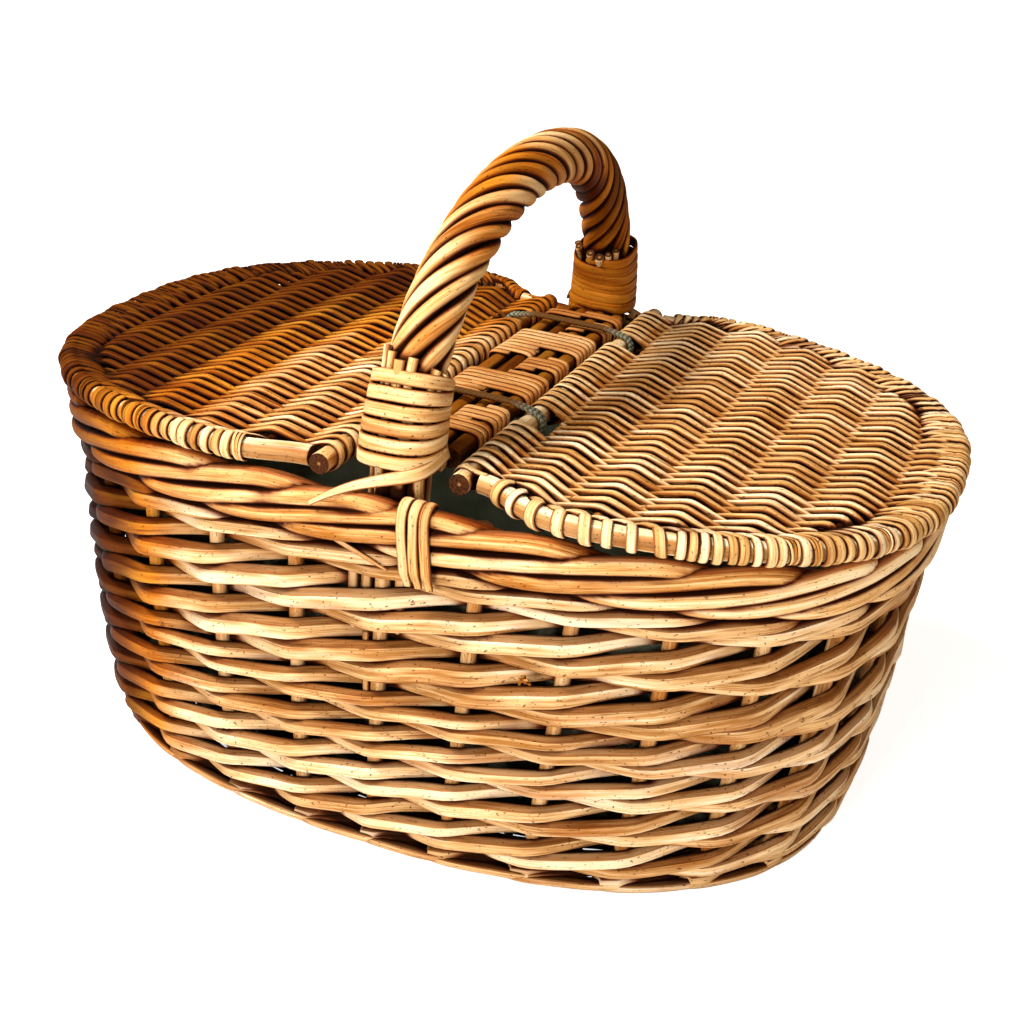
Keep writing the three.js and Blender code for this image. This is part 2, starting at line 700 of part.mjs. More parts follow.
function makeLid(name, parent, corners, ties) {
  const neck = neckLength / 2;
  const profile = [new THREE.Vector2(0, -corners.minus), new THREE.Vector2(stickRadius, -corners.minus)];
  for (const y of ties) {
    profile.push(new THREE.Vector2(stickRadius, y - neck - turnGap), new THREE.Vector2(neckRadius, y - neck));
    profile.push(new THREE.Vector2(neckRadius, y + neck), new THREE.Vector2(stickRadius, y + neck + turnGap));
  }
  profile.push(new THREE.Vector2(stickRadius, corners.plus), new THREE.Vector2(0, corners.plus));
  addPiece(parent, `${name}_hinge_stick`, new THREE.LatheGeometry(profile, stickSides), willow());
  addPiece(parent, `${name}_bow_stick`, rodGeometry(bowLine(corners, 0), stickRadius, bowSides), willow());

  // Woven panel: the space between the two sticks, cut round the ties and grooved over the ribs
  const inner = bowLine(corners, stickRadius + seatGap);
  const panelStart = stickRadius + seatGap;
  const notchDepth = neckRadius + seatGap + 2 * tieRadius + tieRise + 2 * turnGap;
  const notchHalf = neck + turnGap;
  const kept = inner.filter((point) => point.x > panelStart);
  const firstX = kept[0].x;
  const hingeSide = [new THREE.Vector2(panelStart, reachAt(inner, firstX, 1))];
  for (const y of [...ties].reverse()) {
    const deep = [[notchDepth, notchHalf], [notchDepth, -notchHalf]];
    const notch = [[panelStart, notchHalf], ...deep, [panelStart, -notchHalf]];
    for (const [x, along] of notch) {
      hingeSide.push(new THREE.Vector2(x, y + along));
    }
  }
  hingeSide.push(new THREE.Vector2(panelStart, -reachAt(inner, firstX, -1)));
  const outline = [...kept.map((point) => new THREE.Vector2(point.x, point.y)), ...hingeSide];
  const slab = new THREE.ExtrudeGeometry(new THREE.Shape(outline), {
    depth: panelTop + panelBottom,
    bevelEnabled: false,
  });
  slab.translate(0, 0, -panelBottom);
  let panel = toSolid(slab);
  const tip = lidHalfLength - 2 * stickRadius - hingeX;
  for (let k = 0; k < ribCount; k++) {
    const x = ((k + 1) / (ribCount + 1)) * tip;
    const grooveHeight = panelBottom + overrun + ribRadius + seatGap;
    const groove = new THREE.BoxGeometry(2 * (ribRadius + seatGap), 2 * lidHalfWidth, grooveHeight);
    groove.translate(x, 0, ribRadius + seatGap - grooveHeight / 2);
    panel = panel.subtract(toSolid(groove));
    const reaches = [-1, 1].map((sign) => Math.min(
      reachAt(inner, x - ribRadius, sign),
      reachAt(inner, x + ribRadius, sign),
    ));
    const length = reaches[0] + reaches[1];
    const rib = new THREE.CylinderGeometry(ribRadius, ribRadius, length, ribSides);
    const mesh = addPiece(parent, `${name}_rib_${k + 1}`, rib, willow());
    mesh.position.set(x, (reaches[1] - reaches[0]) / 2, 0);
  }
  addPiece(parent, `${name}_panel_weave`, fromSolid(panel), willow());
}

function makeLids() {
  const right = new THREE.Group();
  right.position.set(hingeX, 0, hingeZ);
  right.rotation.y = droop;
  const rightCorners = {
    minus: rimHalfWidth - rightCornerInset.front,
    plus: rimHalfWidth - rightCornerInset.back,
  };
  makeLid('right', right, rightCorners, [frontTie, backTie]);
  const left = new THREE.Group();
  left.rotation.y = droop;
  const leftSide = new THREE.Group();
  leftSide.position.set(-hingeX, 0, hingeZ);
  leftSide.rotation.z = Math.PI;
  leftSide.add(left);
  const leftCorners = {
    minus: rimHalfWidth - leftCornerInset.back,
    plus: rimHalfWidth - leftCornerInset.front,
  };
  makeLid('left', left, leftCorners, [-backTie, -frontTie]);
  basket.add(right, leftSide);
}

makeBase();
makeWallBand('wall_weave_lower', [footTop + seatGap, lowerBandMiddle, bandSeam], lowerGapShares);
makeWallBand('wall_weave_upper', [bandSeam + seatGap, bandTop], upperGapShares, 0);
makeStakes();
makeBorder();
makeLiner();
makeHandle();
makeCollar('handle_collar_front', 1);
makeCollar('handle_collar_back', -1);
makeLash('border_lash_front', -1);
makeLash('border_lash_back', 1);
makeBar();
makeBarWrap();
makeTie('hinge_tie_front', frontTie);
makeTie('hinge_tie_back', backTie);
makeLids();

export default basket;
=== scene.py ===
import math

import bpy
import numpy as np
from mathutils import Matrix, Vector


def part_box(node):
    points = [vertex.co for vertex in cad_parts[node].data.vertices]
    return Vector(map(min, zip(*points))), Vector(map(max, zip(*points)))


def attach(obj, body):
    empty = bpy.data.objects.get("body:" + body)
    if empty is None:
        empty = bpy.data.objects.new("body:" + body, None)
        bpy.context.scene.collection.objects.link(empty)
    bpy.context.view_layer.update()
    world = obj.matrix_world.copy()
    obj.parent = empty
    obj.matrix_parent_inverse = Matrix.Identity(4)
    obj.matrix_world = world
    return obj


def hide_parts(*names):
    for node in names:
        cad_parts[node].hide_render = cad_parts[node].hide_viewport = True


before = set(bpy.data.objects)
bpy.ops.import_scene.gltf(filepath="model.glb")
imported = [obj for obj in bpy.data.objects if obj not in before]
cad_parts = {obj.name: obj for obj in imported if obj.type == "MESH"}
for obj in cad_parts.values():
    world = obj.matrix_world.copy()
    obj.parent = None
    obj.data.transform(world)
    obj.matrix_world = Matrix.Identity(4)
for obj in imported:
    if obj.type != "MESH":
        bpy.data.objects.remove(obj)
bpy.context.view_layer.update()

MM = 0.001
TAU = 2 * math.pi
UP = np.array([0.0, 0.0, 1.0])
FORWARD = np.array([0.0, -1.0, 0.0])
rng = np.random.default_rng(11)


def node_box(name):
    low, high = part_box(name)
    return np.array(low) / MM, np.array(high) / MM


# Sizes taken from the frame
hinge_low, hinge_high = node_box("right_hinge_stick")
left_low, left_high = node_box("left_hinge_stick")
hinge_x = (hinge_low[0] + hinge_high[0]) / 2
hinge_z = (hinge_low[2] + hinge_high[2]) / 2
stick_radius = (hinge_high[2] - hinge_low[2]) / 2
lid_corners = {"right": (-hinge_low[1], hinge_high[1]), "left": (left_high[1], -left_low[1])}
tie_y = {end: sum(corner[1] for corner in node_box(f"hinge_tie_{end}")) / 2 for end in ("front", "back")}
bar_half_length = node_box("bar_rod_1")[1][1]
foot_z = node_box("handle_core")[0][2]

# Outside of the body, as the solids have it
base_half_length, base_half_width = 198, 152
rim_half_length, rim_half_width = 228, 168
base_power, rim_power = 2.3, 2.65
flare_power = 0.34
rim_height = 192
rim_dip = 7


def add_object(name, data):
    """Puts a new object with the given data into the scene."""
    thing = bpy.data.objects.new(name, data)
    bpy.context.scene.collection.objects.link(thing)
    return thing


# The camera stands where the photograph was taken from
def make_camera():
    azimuth, elevation, roll = (math.radians(a) for a in (18.839, 23.66, 5.727))
    distance = 916.04
    target = Vector((3.558, 5.826, 119.987))
    focal_pixels = 1689.67
    image_pixels = 1024
    back = Vector((
        math.sin(azimuth) * math.cos(elevation),
        -math.cos(azimuth) * math.cos(elevation),
        math.sin(elevation),
    ))
    level = (-back).cross(Vector((0, 0, 1))).normalized()
    above = level.cross(-back)
    right = level * math.cos(roll) + above * math.sin(roll)
    up = above * math.cos(roll) - level * math.sin(roll)
    data = bpy.data.cameras.new("camera")
    data.sensor_width = 36
    data.lens = data.sensor_width * focal_pixels / image_pixels
    data.clip_start = 0.01
    camera = add_object("camera", data)
    turn = Matrix((right, up, back)).transposed().to_4x4()
    camera.matrix_world = Matrix.Translation((target + back * distance) * MM) @ turn
    bpy.context.scene.camera = camera


make_camera()


# Small tools for shapes
def unit(vectors):
    return vectors / np.maximum(np.linalg.norm(vectors, axis=-1, keepdims=True), 1e-9)


def between(low, high, share):
    return low + (high - low) * share


def bend(value, power):
    return np.sign(value) * np.abs(value) ** power


def oval(angle, power):
    """A point of an oval, as shares of its half sizes. The higher the power, the fuller its corners."""
    return bend(np.cos(angle), 2 / power), bend(np.sin(angle), 2 / power)


def columns(*parts):
    """Points from their x, y and z, each given as one number or as one for every point."""
    return np.stack(np.broadcast_arrays(*parts), -1)


def smooth(value, start, end):
    share = np.clip((value - start) / (end - start), 0, 1)
    return share * share * (3 - 2 * share)


def fade(value, start, end, room):
    """One, but falling to nothing at the start and at the end."""
    return smooth(value, start, start + room) * smooth(-value, -end, room - end)


def gentle(values, passes=3):
    """Rounds the corners of a row of values and keeps its ends."""
    for _ in range(passes):
        inner = (values[:-2] + 2 * values[1:-1] + values[2:]) / 4
        values = np.concatenate([values[:1], inner, values[-1:]])
    return values


def wander(distance, wavelength, size):
    """A slow irregular wave along a rod, so that no two rods lie alike."""
    first, second = rng.uniform(0, TAU, 2)
    slow = np.sin(distance * TAU / wavelength + first)
    quick = np.sin(distance * TAU / wavelength * 2.3 + second)
    return size * (slow + 0.5 * quick) / 1.5


def lengths_along(line):
    """The distance from a line's start to each of its points."""
    return np.concatenate([[0], np.cumsum(np.linalg.norm(np.diff(line, axis=0), axis=1))])


def along_line(distance, lengths, line):
    """Points at given distances along a line."""
    return np.stack([np.interp(distance, lengths, line[:, axis]) for axis in range(3)], -1)


def body_point(angle, height, inset):
    """Points of the body's outside and their outward directions, a distance in from the surface."""
    angle, height, inset = np.broadcast_arrays(*(np.asarray(v, float) for v in (angle, height, inset)))
    flare = (np.maximum(height, 0) / rim_height) ** flare_power
    half_length = between(base_half_length, rim_half_length, flare)
    half_width = between(base_half_width, rim_half_width, flare)
    power = between(base_power, rim_power, flare)
    across, over = oval(angle, power)
    outward = unit(columns(bend(across, power - 1) / half_length, bend(over, power - 1) / half_width, 0))
    x = half_length * across
    dip = np.maximum(0, np.abs(x) - hinge_x) / (rim_half_length - hinge_x)
    z = height - rim_dip * dip * height / rim_height
    return columns(x, half_width * over, z) - outward * inset[..., None], outward


rim_samples = np.linspace(0, TAU, 2001)
rim_lengths = lengths_along(body_point(rim_samples, rim_height, 0)[0][:, :2])
rim_length = rim_lengths[-1]


def rim_angle(share):
    """The angle at a share of the way round the rim, from the right-hand tip against the clock."""
    whole = np.floor(share)
    return np.interp((share - whole) * rim_length, rim_lengths, rim_samples) + TAU * whole


def tube_faces(rings, sides, first=0):
    """The side faces of a tube whose points come ring by ring, and the two faces that close it."""
    index = first + np.arange(rings * sides).reshape(rings, sides)
    after = np.roll(index, -1, axis=1)
    quads = np.stack([index[:-1], after[:-1], after[1:], index[1:]], -1).reshape(-1, 4)
    return quads.tolist(), [index[0][::-1].tolist(), index[-1].tolist()]


def add_values(mesh, name, values):
    """Gives each point of a mesh a named value that its material can read."""
    attribute = mesh.attributes.new(name, "FLOAT", "POINT")
    attribute.data.foreach_set("value", values.astype(np.float32))


bulk_step = 1.5
bulk_of, meshes_of = {}, {}


def paint_crevice_shade(body):
    """Gives every point of a body's meshes a value for how crowded it is, which the materials turn into
    painted shade, with some soiling, in crevices.
    """
    cell = 2.5
    low = np.array([-250.0, -190.0, -15.0])
    size = np.array([200, 152, 142])
    blur_passes = 4
    crevice_reach = 3.0
    bulk = np.concatenate(bulk_of[body])
    index = np.clip(((bulk[:, :3] - low) / cell).astype(int), 0, size - 1)
    flat = np.ravel_multi_index(index.T, size)
    density = np.bincount(flat, bulk[:, 3], size.prod()).reshape(size) / cell ** 3
    for axis in (0, 1, 2) * blur_passes:
        density = (np.roll(density, 1, axis) + density + np.roll(density, -1, axis)) / 3
    for mesh, span in meshes_of[body]:
        count = len(mesh.vertices)
        points, normals = np.empty(3 * count), np.empty(3 * count)
        mesh.vertices.foreach_get("co", points)
        mesh.vertices.foreach_get("normal", normals)
        place = points.reshape(-1, 3) / MM + normals.reshape(-1, 3) * crevice_reach
        spot = np.clip((place - low) / cell - 0.5, 0, size - 2)
        whole = spot.astype(int)
        part = spot - whole
        value = np.zeros(count)
        for corner in np.ndindex(2, 2, 2):
            weight = np.prod(np.where(corner, part, 1 - part), axis=1)
            value += weight * density[tuple((whole + corner).T)]
        add_values(mesh, "crevice_shade", smooth(value, *span))


class Bundle:
    """Rods in one mesh. Each point keeps its place in its straightened rod, for the material's grain."""

    def __init__(self, sides=12, crevice_shade_span=(0.1, 0.34)):
        self.sides = sides
        self.crevice_shade_span = crevice_shade_span
        self.points, self.grain, self.bulk = [], [], []
        self.values = {"tone": [], "rim": [], "stain_and_shade": []}
        self.quads, self.caps = [], []
        self.count = 0

    def rod(self, points, out, half_out, half_up, power=2.0, tone=None, stain_and_shade=0.0, roll=0.0, section=None):
        """A rod through points. Its flat side faces out; half_out and half_up are its half sizes.
        A section gives its outline as shares of those, and how much painted shade each point of it gets."""
        points = np.asarray(points, float)
        count = len(points)
        along = unit(np.gradient(points, axis=0))
        out = np.broadcast_to(out, points.shape)
        out = unit(out - along * np.sum(out * along, -1, keepdims=True))
        up = np.cross(along, out)
        roll = np.broadcast_to(roll, count)[:, None]
        out, up = out * np.cos(roll) + up * np.sin(roll), up * np.cos(roll) - out * np.sin(roll)
        if section is None:
            # Without a section the outline is round, and its top and bottom edges get painted shade.
            turn = np.arange(self.sides) / self.sides * TAU
            section = columns(*oval(turn, power), np.abs(np.sin(turn)))
        across = np.broadcast_to(half_out, count)[:, None] * section[:, 0]
        over = np.broadcast_to(half_up, count)[:, None] * section[:, 1]
        rings = points[:, None] + out[:, None] * across[..., None] + up[:, None] * over[..., None]
        distance = lengths_along(points)
        shift = rng.uniform(0, 400)
        place = columns(across, over, distance[:, None] + shift)
        tone = rng.uniform(0, 1) if tone is None else tone
        self.points.append(rings.reshape(-1, 3))
        self.grain.append(place.reshape(-1, 3))
        self.values["tone"].append(np.full(count * self.sides, tone))
        self.values["rim"].append(np.tile(section[:, 2], count))
        # These values hold real stains and painted shade alike.
        self.values["stain_and_shade"].append(np.repeat(np.broadcast_to(stain_and_shade, count), self.sides))
        quads, caps = tube_faces(count, self.sides, self.count)
        self.quads += quads
        self.caps += caps
        self.count += count * self.sides
        area = np.broadcast_to(math.pi * np.asarray(half_out) * np.asarray(half_up), count)
        marks = np.arange(0, distance[-1], bulk_step)
        volume = np.interp(marks, distance, area) * bulk_step
        self.bulk.append(np.column_stack([along_line(marks, distance, points), volume]))

    def build(self, name, slot, replaced=(), body="root", material=None):
        """Makes the mesh. Its material is the slot's own unless another one is named."""
        mesh = bpy.data.meshes.new(name)
        mesh.from_pydata((np.concatenate(self.points) * MM).tolist(), [], self.quads + self.caps)
        is_cap = np.arange(len(mesh.polygons)) >= len(self.quads)
        mesh.polygons.foreach_set("use_smooth", ~is_cap)
        mesh.polygons.foreach_set("material_index", is_cap.astype(np.int32))
        grain = mesh.attributes.new("grain", "FLOAT_VECTOR", "POINT")
        grain.data.foreach_set("vector", (np.concatenate(self.grain) * MM).ravel())
        for key, parts in self.values.items():
            add_values(mesh, key, np.concatenate(parts))
        mesh.materials.append(materials[material or slot])
        mesh.materials.append(materials["cut_wood"])
        bulk_of.setdefault(body, []).extend(self.bulk)
        meshes_of.setdefault(body, []).append((mesh, self.crevice_shade_span))
        piece = add_object(name, mesh)
        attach(piece, body)
        if replaced:
            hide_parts(*replaced)


# Materials
def colour(red, green, blue):
    """A colour written as the screen shows it, as the renderer wants it."""
    return tuple(((v / 255 + 0.055) / 1.055) ** 2.4 for v in (red, green, blue)) + (1.0,)


class Nodes:
    """Short ways to add and join the nodes of a material or of the world."""

    def __init__(self, owner):
        owner.use_nodes = True
        self.owner = owner
        self.tree = owner.node_tree
        self.shader = self.tree.nodes.get("Principled BSDF")

    def set(self, socket, value):
        if isinstance(value, bpy.types.NodeSocket):
            self.tree.links.new(value, socket)
        else:
            socket.default_value = value

    def add(self, kind, inputs=(), output=0, **settings):
        node = self.tree.nodes.new(kind)
        for key, value in settings.items():
            setattr(node, key, value)
        for key, value in dict(inputs).items():
            self.set(node.inputs[key], value)
        return node.outputs[output]

    def attribute(self, name, output="Fac"):
        return self.add("ShaderNodeAttribute", attribute_name=name, output=output)

    def math(self, operation, *values):
        return self.add("ShaderNodeMath", enumerate(values), operation=operation)

    def total(self, *terms, less=0.0):
        """Adds up values, each times its weight, and takes a number away."""
        total = -less
        for value, weight in terms:
            total = self.math("MULTIPLY_ADD", value, weight, total)
        return total

    def scaled(self, vector, scale):
        return self.add("ShaderNodeVectorMath", {0: vector, 1: scale}, operation="MULTIPLY")

    def length(self, vector):
        return self.add("ShaderNodeVectorMath", {0: vector}, output="Value", operation="LENGTH")

    def noise(self, vector, scale, detail, roughness=0.55):
        values = {"Vector": self.scaled(vector, scale), "Scale": 1.0}
        values.update({"Detail": detail, "Roughness": roughness})
        return self.add("ShaderNodeTexNoise", values)

    def wave(self, vector, direction, scale, distortion, detail, detail_scale=1.0):
        values = {"Vector": vector, "Scale": scale, "Distortion": distortion, "Detail": detail}
        values["Detail Scale"] = detail_scale
        return self.add("ShaderNodeTexWave", values, output="Fac", bands_direction=direction)

    def span(self, value, low, high, to_low=0.0, to_high=1.0):
        values = {0: value, 1: low, 2: high, 3: to_low, 4: to_high}
        return self.add("ShaderNodeMapRange", values, interpolation_type="SMOOTHSTEP")

    def mix(self, share, first, second, blend="MIX"):
        values = {0: share, 6: first, 7: second}
        return self.add("ShaderNodeMix", values, output=2, data_type="RGBA", blend_type=blend)

    def surface(self, values):
        for key, value in values.items():
            self.set(self.shader.inputs[key], value)

    def finish(self, base, roughness, height, depth, shine=0.1):
        bump = self.add("ShaderNodeBump", {"Height": height, "Strength": 1.0, "Distance": depth})
        self.surface({"Base Color": base, "Roughness": roughness, "Normal": bump})
        self.surface({"Specular IOR Level": shine})
        return self.owner


def willow_material(name, dark, mid, light, stained, edge, line, roughness):
    """Peeled willow: grain and streaks along the rod, blotches, specks, cracks, painted shade with some
    soiling in crevices, painted shade on the rods' edges and painted shadow lines between rods.
    """
    n = Nodes(bpy.data.materials.new(name))
    grain = n.attribute("grain", "Vector")
    fine = n.noise(grain, (2300, 2300, 40), 5.0, 0.6)
    streak = n.noise(grain, (620, 620, 9), 3.0, 0.5)
    broad = n.noise(grain, (180, 180, 22), 3.0)
    patch = n.noise(grain, (75, 75, 13), 2.0)
    spots = n.noise(grain, (950, 950, 560), 1.0)
    cracks = n.noise(grain, (1500, 1500, 24), 2.0)
    tone = n.attribute("tone")
    rim = n.attribute("rim")
    level = n.total((fine, 0.34), (streak, 0.3), (broad, 0.5), (tone, 0.15), less=0.105)
    stain_and_shade = n.total((n.attribute("stain_and_shade"), 1.0), (patch, 0.5), less=0.25)
    grime_and_shade = n.total((n.attribute("crevice_shade"), 1.0), (broad, 0.5), less=0.25)
    base = colour(*dark)
    for value, low, high, most, tint, blend in (
        (level, 0.36, 0.55, 1.0, mid, "MIX"),
        (level, 0.5, 0.66, 1.0, light, "MIX"),
        (patch, 0.5, 0.7, 0.5, stained, "MIX"),
        # Painted shade on the rods' edges and upper slopes.
        (rim, 0.55, 0.85, 0.85, edge, "MULTIPLY"),
        # Darker tints from each point's stains and painted shade.
        (stain_and_shade, 0.0, 0.5, 1.0, (216, 162, 66), "MULTIPLY"),
        (stain_and_shade, 0.4, 0.95, 1.0, (132, 112, 72), "MULTIPLY"),
        (stain_and_shade, 0.95, 1.35, 1.0, (120, 78, 46), "MULTIPLY"),
        # Painted shade in crevices, with some soiling.
        (grime_and_shade, 0.12, 0.8, 0.95, (134, 60, 9), "MULTIPLY"),
        (grime_and_shade, 0.5, 0.92, 0.94, (26, 8, 0), "MIX"),
        # Painted shadow lines between rods.
        (rim, 0.88, 1.0, line, (40, 14, 1), "MIX"),
    ):
        base = n.mix(n.span(value, low, high, 0.0, most), base, colour(*tint), blend)
    marks = n.math("MAXIMUM", n.span(spots, 0.68, 0.73), n.span(cracks, 0.67, 0.72, 0.0, 0.8))
    base = n.mix(n.math("MULTIPLY", marks, 0.8), base, colour(72, 36, 12))
    rough = n.span(level, 0.3, 0.8, roughness - 0.06, roughness + 0.14)
    height = n.total((fine, 0.9), (streak, 0.8), (marks, -0.8))
    n.surface({"Specular Tint": (1.0, 0.8, 0.5, 1.0)})
    return n.finish(base, rough, height, 0.0005, 0.06)


def cut_material():
    """The sawn or snipped end of a rod: dark bark ring, brown wood and a pale pith."""
    n = Nodes(bpy.data.materials.new("cut_wood"))
    grain = n.attribute("grain", "Vector")
    pith_distance = n.length(n.scaled(grain, (1, 1, 0)))
    fibres = n.noise(grain, (1400, 1400, 1400), 4.0)
    base = n.mix(n.span(fibres, 0.35, 0.65), colour(34, 14, 3), colour(84, 44, 14))
    base = n.mix(n.span(pith_distance, 0.0002, 0.0012, 1.0, 0.0), base, colour(150, 104, 54))
    return n.finish(base, 0.8, fibres, 0.0006)


def cord_material():
    """Grey green cord of twisted threads."""
    n = Nodes(bpy.data.materials.new("hinge_cord"))
    grain = n.attribute("grain", "Vector")
    threads = n.wave(grain, "DIAGONAL", 260.0, 2.0, 2.0)
    fuzz = n.noise(grain, (2500, 2500, 900), 4.0)
    base = n.mix(threads, colour(58, 58, 44), colour(138, 138, 116))
    base = n.mix(n.span(fuzz, 0.4, 0.7, 0.0, 0.5), base, colour(104, 90, 60))
    base = n.mix(n.attribute("stain_and_shade"), base, colour(92, 58, 24))
    return n.finish(base, 0.85, n.total((threads, 1.0), (fuzz, 0.5)), 0.0004)


def cloth_material():
    """Plain woven grey green cotton. Its outside, which lies against the willow, carries painted shade
    broken by lighter patches.
    """
    n = Nodes(bpy.data.materials.new("liner_cloth"))
    place = n.add("ShaderNodeTexCoord", output="Object")
    fold = n.noise(place, (30, 30, 30), 3.0)
    threads = [n.wave(place, direction, 420.0, 1.2, 1.0, 3.0) for direction in ("X", "Z")]
    weave = n.math("MULTIPLY", *threads)
    # Painted shade on the outside, lighter where the fold noise is high.
    gap_shade = n.math("MULTIPLY", n.attribute("stain_and_shade"), n.span(fold, 0.52, 0.7, 1.0, 0.1))
    base = n.mix(n.span(fold, 0.3, 0.7), colour(112, 116, 92), colour(152, 156, 130))
    base = n.mix(n.span(weave, 0.1, 0.9, 0.4, 0.0), base, colour(70, 72, 52))
    base = n.mix(gap_shade, base, colour(22, 18, 6))
    return n.finish(base, 0.92, n.total((weave, 1.0), (fold, 1.0)), 0.0005)


# The dark, middle and light grain of each willow, its stained tint, the tint of the painted shade on its
# edges, how dark the painted shadow lines between its rods are, and its roughness
willow_looks = {
    "wall": ((158, 104, 48), (222, 176, 120), (243, 219, 182), (150, 76, 8), (150, 108, 52), 0.88, 0.5),
    "foot": ((146, 108, 60), (212, 174, 126), (243, 219, 184), (126, 86, 34), (150, 118, 70), 0.88, 0.5),
    "border": ((166, 100, 34), (226, 174, 108), (244, 216, 170), (152, 74, 6), (168, 98, 32), 0.6, 0.42),
    "handle": ((146, 80, 18), (216, 162, 92), (238, 206, 152), (140, 62, 3), (148, 80, 20), 0.85, 0.45),
    "lid": ((160, 100, 32), (224, 178, 112), (246, 224, 182), (150, 78, 6), (172, 112, 42), 0.7, 0.5),
    "stick": ((154, 100, 38), (222, 178, 116), (244, 220, 178), (150, 78, 8), (190, 140, 80), 0.2, 0.5),
    "skein": ((166, 104, 42), (220, 172, 108), (237, 206, 156), (150, 74, 6), (176, 114, 46), 0.85, 0.44),
}
materials = {"cut_wood": cut_material(), "hinge_cord": cord_material(), "liner_cloth": cloth_material()}
for kind, look in willow_looks.items():
    materials[f"{kind}_willow"] = willow_material(f"{kind}_willow", *look)
materials["skein"] = materials["skein_willow"]

# Wall: one weaver starts at every stake. It passes in front of two stakes and behind one,
# and climbs a third of the way to the next row of gaps at each stake.
stake_count = 28
gap_rows = (9.5, 30, 52, 73, 92.5, 120, 147, 169)  # heights where a weaver passes behind a stake
front_shares = (0.305, 0.69)  # of the way to the next row, at the two stakes passed in front
weaver_start, weaver_end = -1.55, 20.75  # in stakes
weaver_steps = 8  # for each stake
weaver_thickness = 5.4
weaver_height_share = 0.182  # half a weaver's height, of the distance between two rows
low_edge = 6.4  # height of a weaver at the foot
front_inset, behind_inset = 4.3, 18.6
chord_inset = 1.5  # how much further in a weaver runs halfway between two stakes
foot_round_height, foot_round_half_height, foot_round_half_thickness = 4.0, 3.0, 2.3
foot_round_inset, foot_round_tuck, foot_round_rise = 4.6, 11, 2.4
stake_radius, stake_inset = 3.7, 12.2
stake_drop, stake_bend = 6, 14
stake_points, bend_points, under_points = 24, 7, 12  # of a stake's line: down the wall, round, across
lower_layer, upper_layer = 9.6, 16.5  # heights of the stakes' stretches under the floor


def level_tables():
    """Heights and row distances at every stake that a weaver passes."""
    stakes, heights, pitches = [-1], [low_edge], [gap_rows[1] - gap_rows[0]]
    for row, (low, high) in enumerate(zip(gap_rows[:-1], gap_rows[1:])):
        for step, share in enumerate((0, *front_shares)):
            stakes.append(3 * row + step)
            heights.append(between(low, high, share))
            pitches.append(high - low)
    return np.array(stakes), np.array(heights), np.array(pitches)


def left_back_darkening(points):
    """Darker towards the left end of the basket, and towards the back of its left half."""
    left = smooth(-points[..., 0], 60, 210)
    back = smooth(points[..., 1], -60, 140) * smooth(-points[..., 0], -40, 90)
    return np.clip(left + 0.7 * back * (1 - left), 0, 1)


def weaver_section():
    """A split rod's outline: a flat front, a slope above it that gets painted shade, and a round back. Each
    point is its share outward, its share towards the foot, and how much painted shade it gets."""
    crease = rng.uniform(0.75, 1.3)
    return np.array([
        (1.0, 0.1, 0), (1.0, 0.5, 0), (0.97, 0.78, 0.1), (0.8, 0.95, 0.8), (0.4, 1.0, 1), (-0.3, 1.0, 1),
        (-0.8, 0.85, 1), (-1.0, 0.4, 1), (-1.0, -0.3, 1), (-0.85, -0.8, 1), (-0.4, -1.0, 1),
        (0.2, -0.93, 0.86), (0.87, -0.42 * crease, 0.86), (0.99, -0.27 * crease, 0.1),
    ])


def make_wall():
    weave = Bundle(14, crevice_shade_span=(0.16, 0.44))
    stakes = np.arange(weaver_start, weaver_end, 1 / weaver_steps)
    distance = stakes * rim_length / stake_count
    nearest = np.abs(stakes - 3 * np.round(stakes / 3))
    behind = gentle(1 - np.clip(nearest, 0.06, 1), 4)
    behind[stakes < weaver_start + 0.4] = 1
    past = stakes - np.floor(stakes)
    chord = 4 * past * (1 - past) * chord_inset
    level_stakes, level_heights, level_pitches = level_tables()
    base_height = gentle(np.interp(stakes, level_stakes, level_heights), 4)
    pitch = gentle(np.interp(stakes, level_stakes, level_pitches), 8)
    ends = fade(stakes, weaver_start, weaver_end, 0.5)
    thick = weaver_thickness / 2 * (0.45 + 0.55 * ends)
    for k in range(stake_count):
        height = base_height + wander(distance, 150, 0.7)
        inset = between(front_inset, behind_inset, behind) + chord + wander(distance, 90, 0.4)
        half_up = pitch * weaver_height_share * (1 + wander(distance, 260, 0.1)) * (1 - 0.18 * behind)
        height = np.maximum(height, half_up + 0.2)
        points, outward = body_point(rim_angle((k + stakes) / stake_count), height, inset)
        # Painted shade darkens the left end of the wall and the stretches behind the stakes.
        end = smooth(-points[:, 0], 90, 190)
        stain_and_shade = np.clip(0.5 * left_back_darkening(points) + 0.8 * end + 0.2 * behind ** 2, 0, 1.3)
        weave.rod(points, outward + UP * 0.04, thick, half_up * (0.5 + 0.5 * ends), stain_and_shade=stain_and_shade,
                  roll=wander(distance, 160, 0.16), section=weaver_section())
    make_foot_round(weave)
    weave.build("wall_weavers", "wall_willow", ["foot_wale", "wall_weave_lower", "wall_weave_upper"])


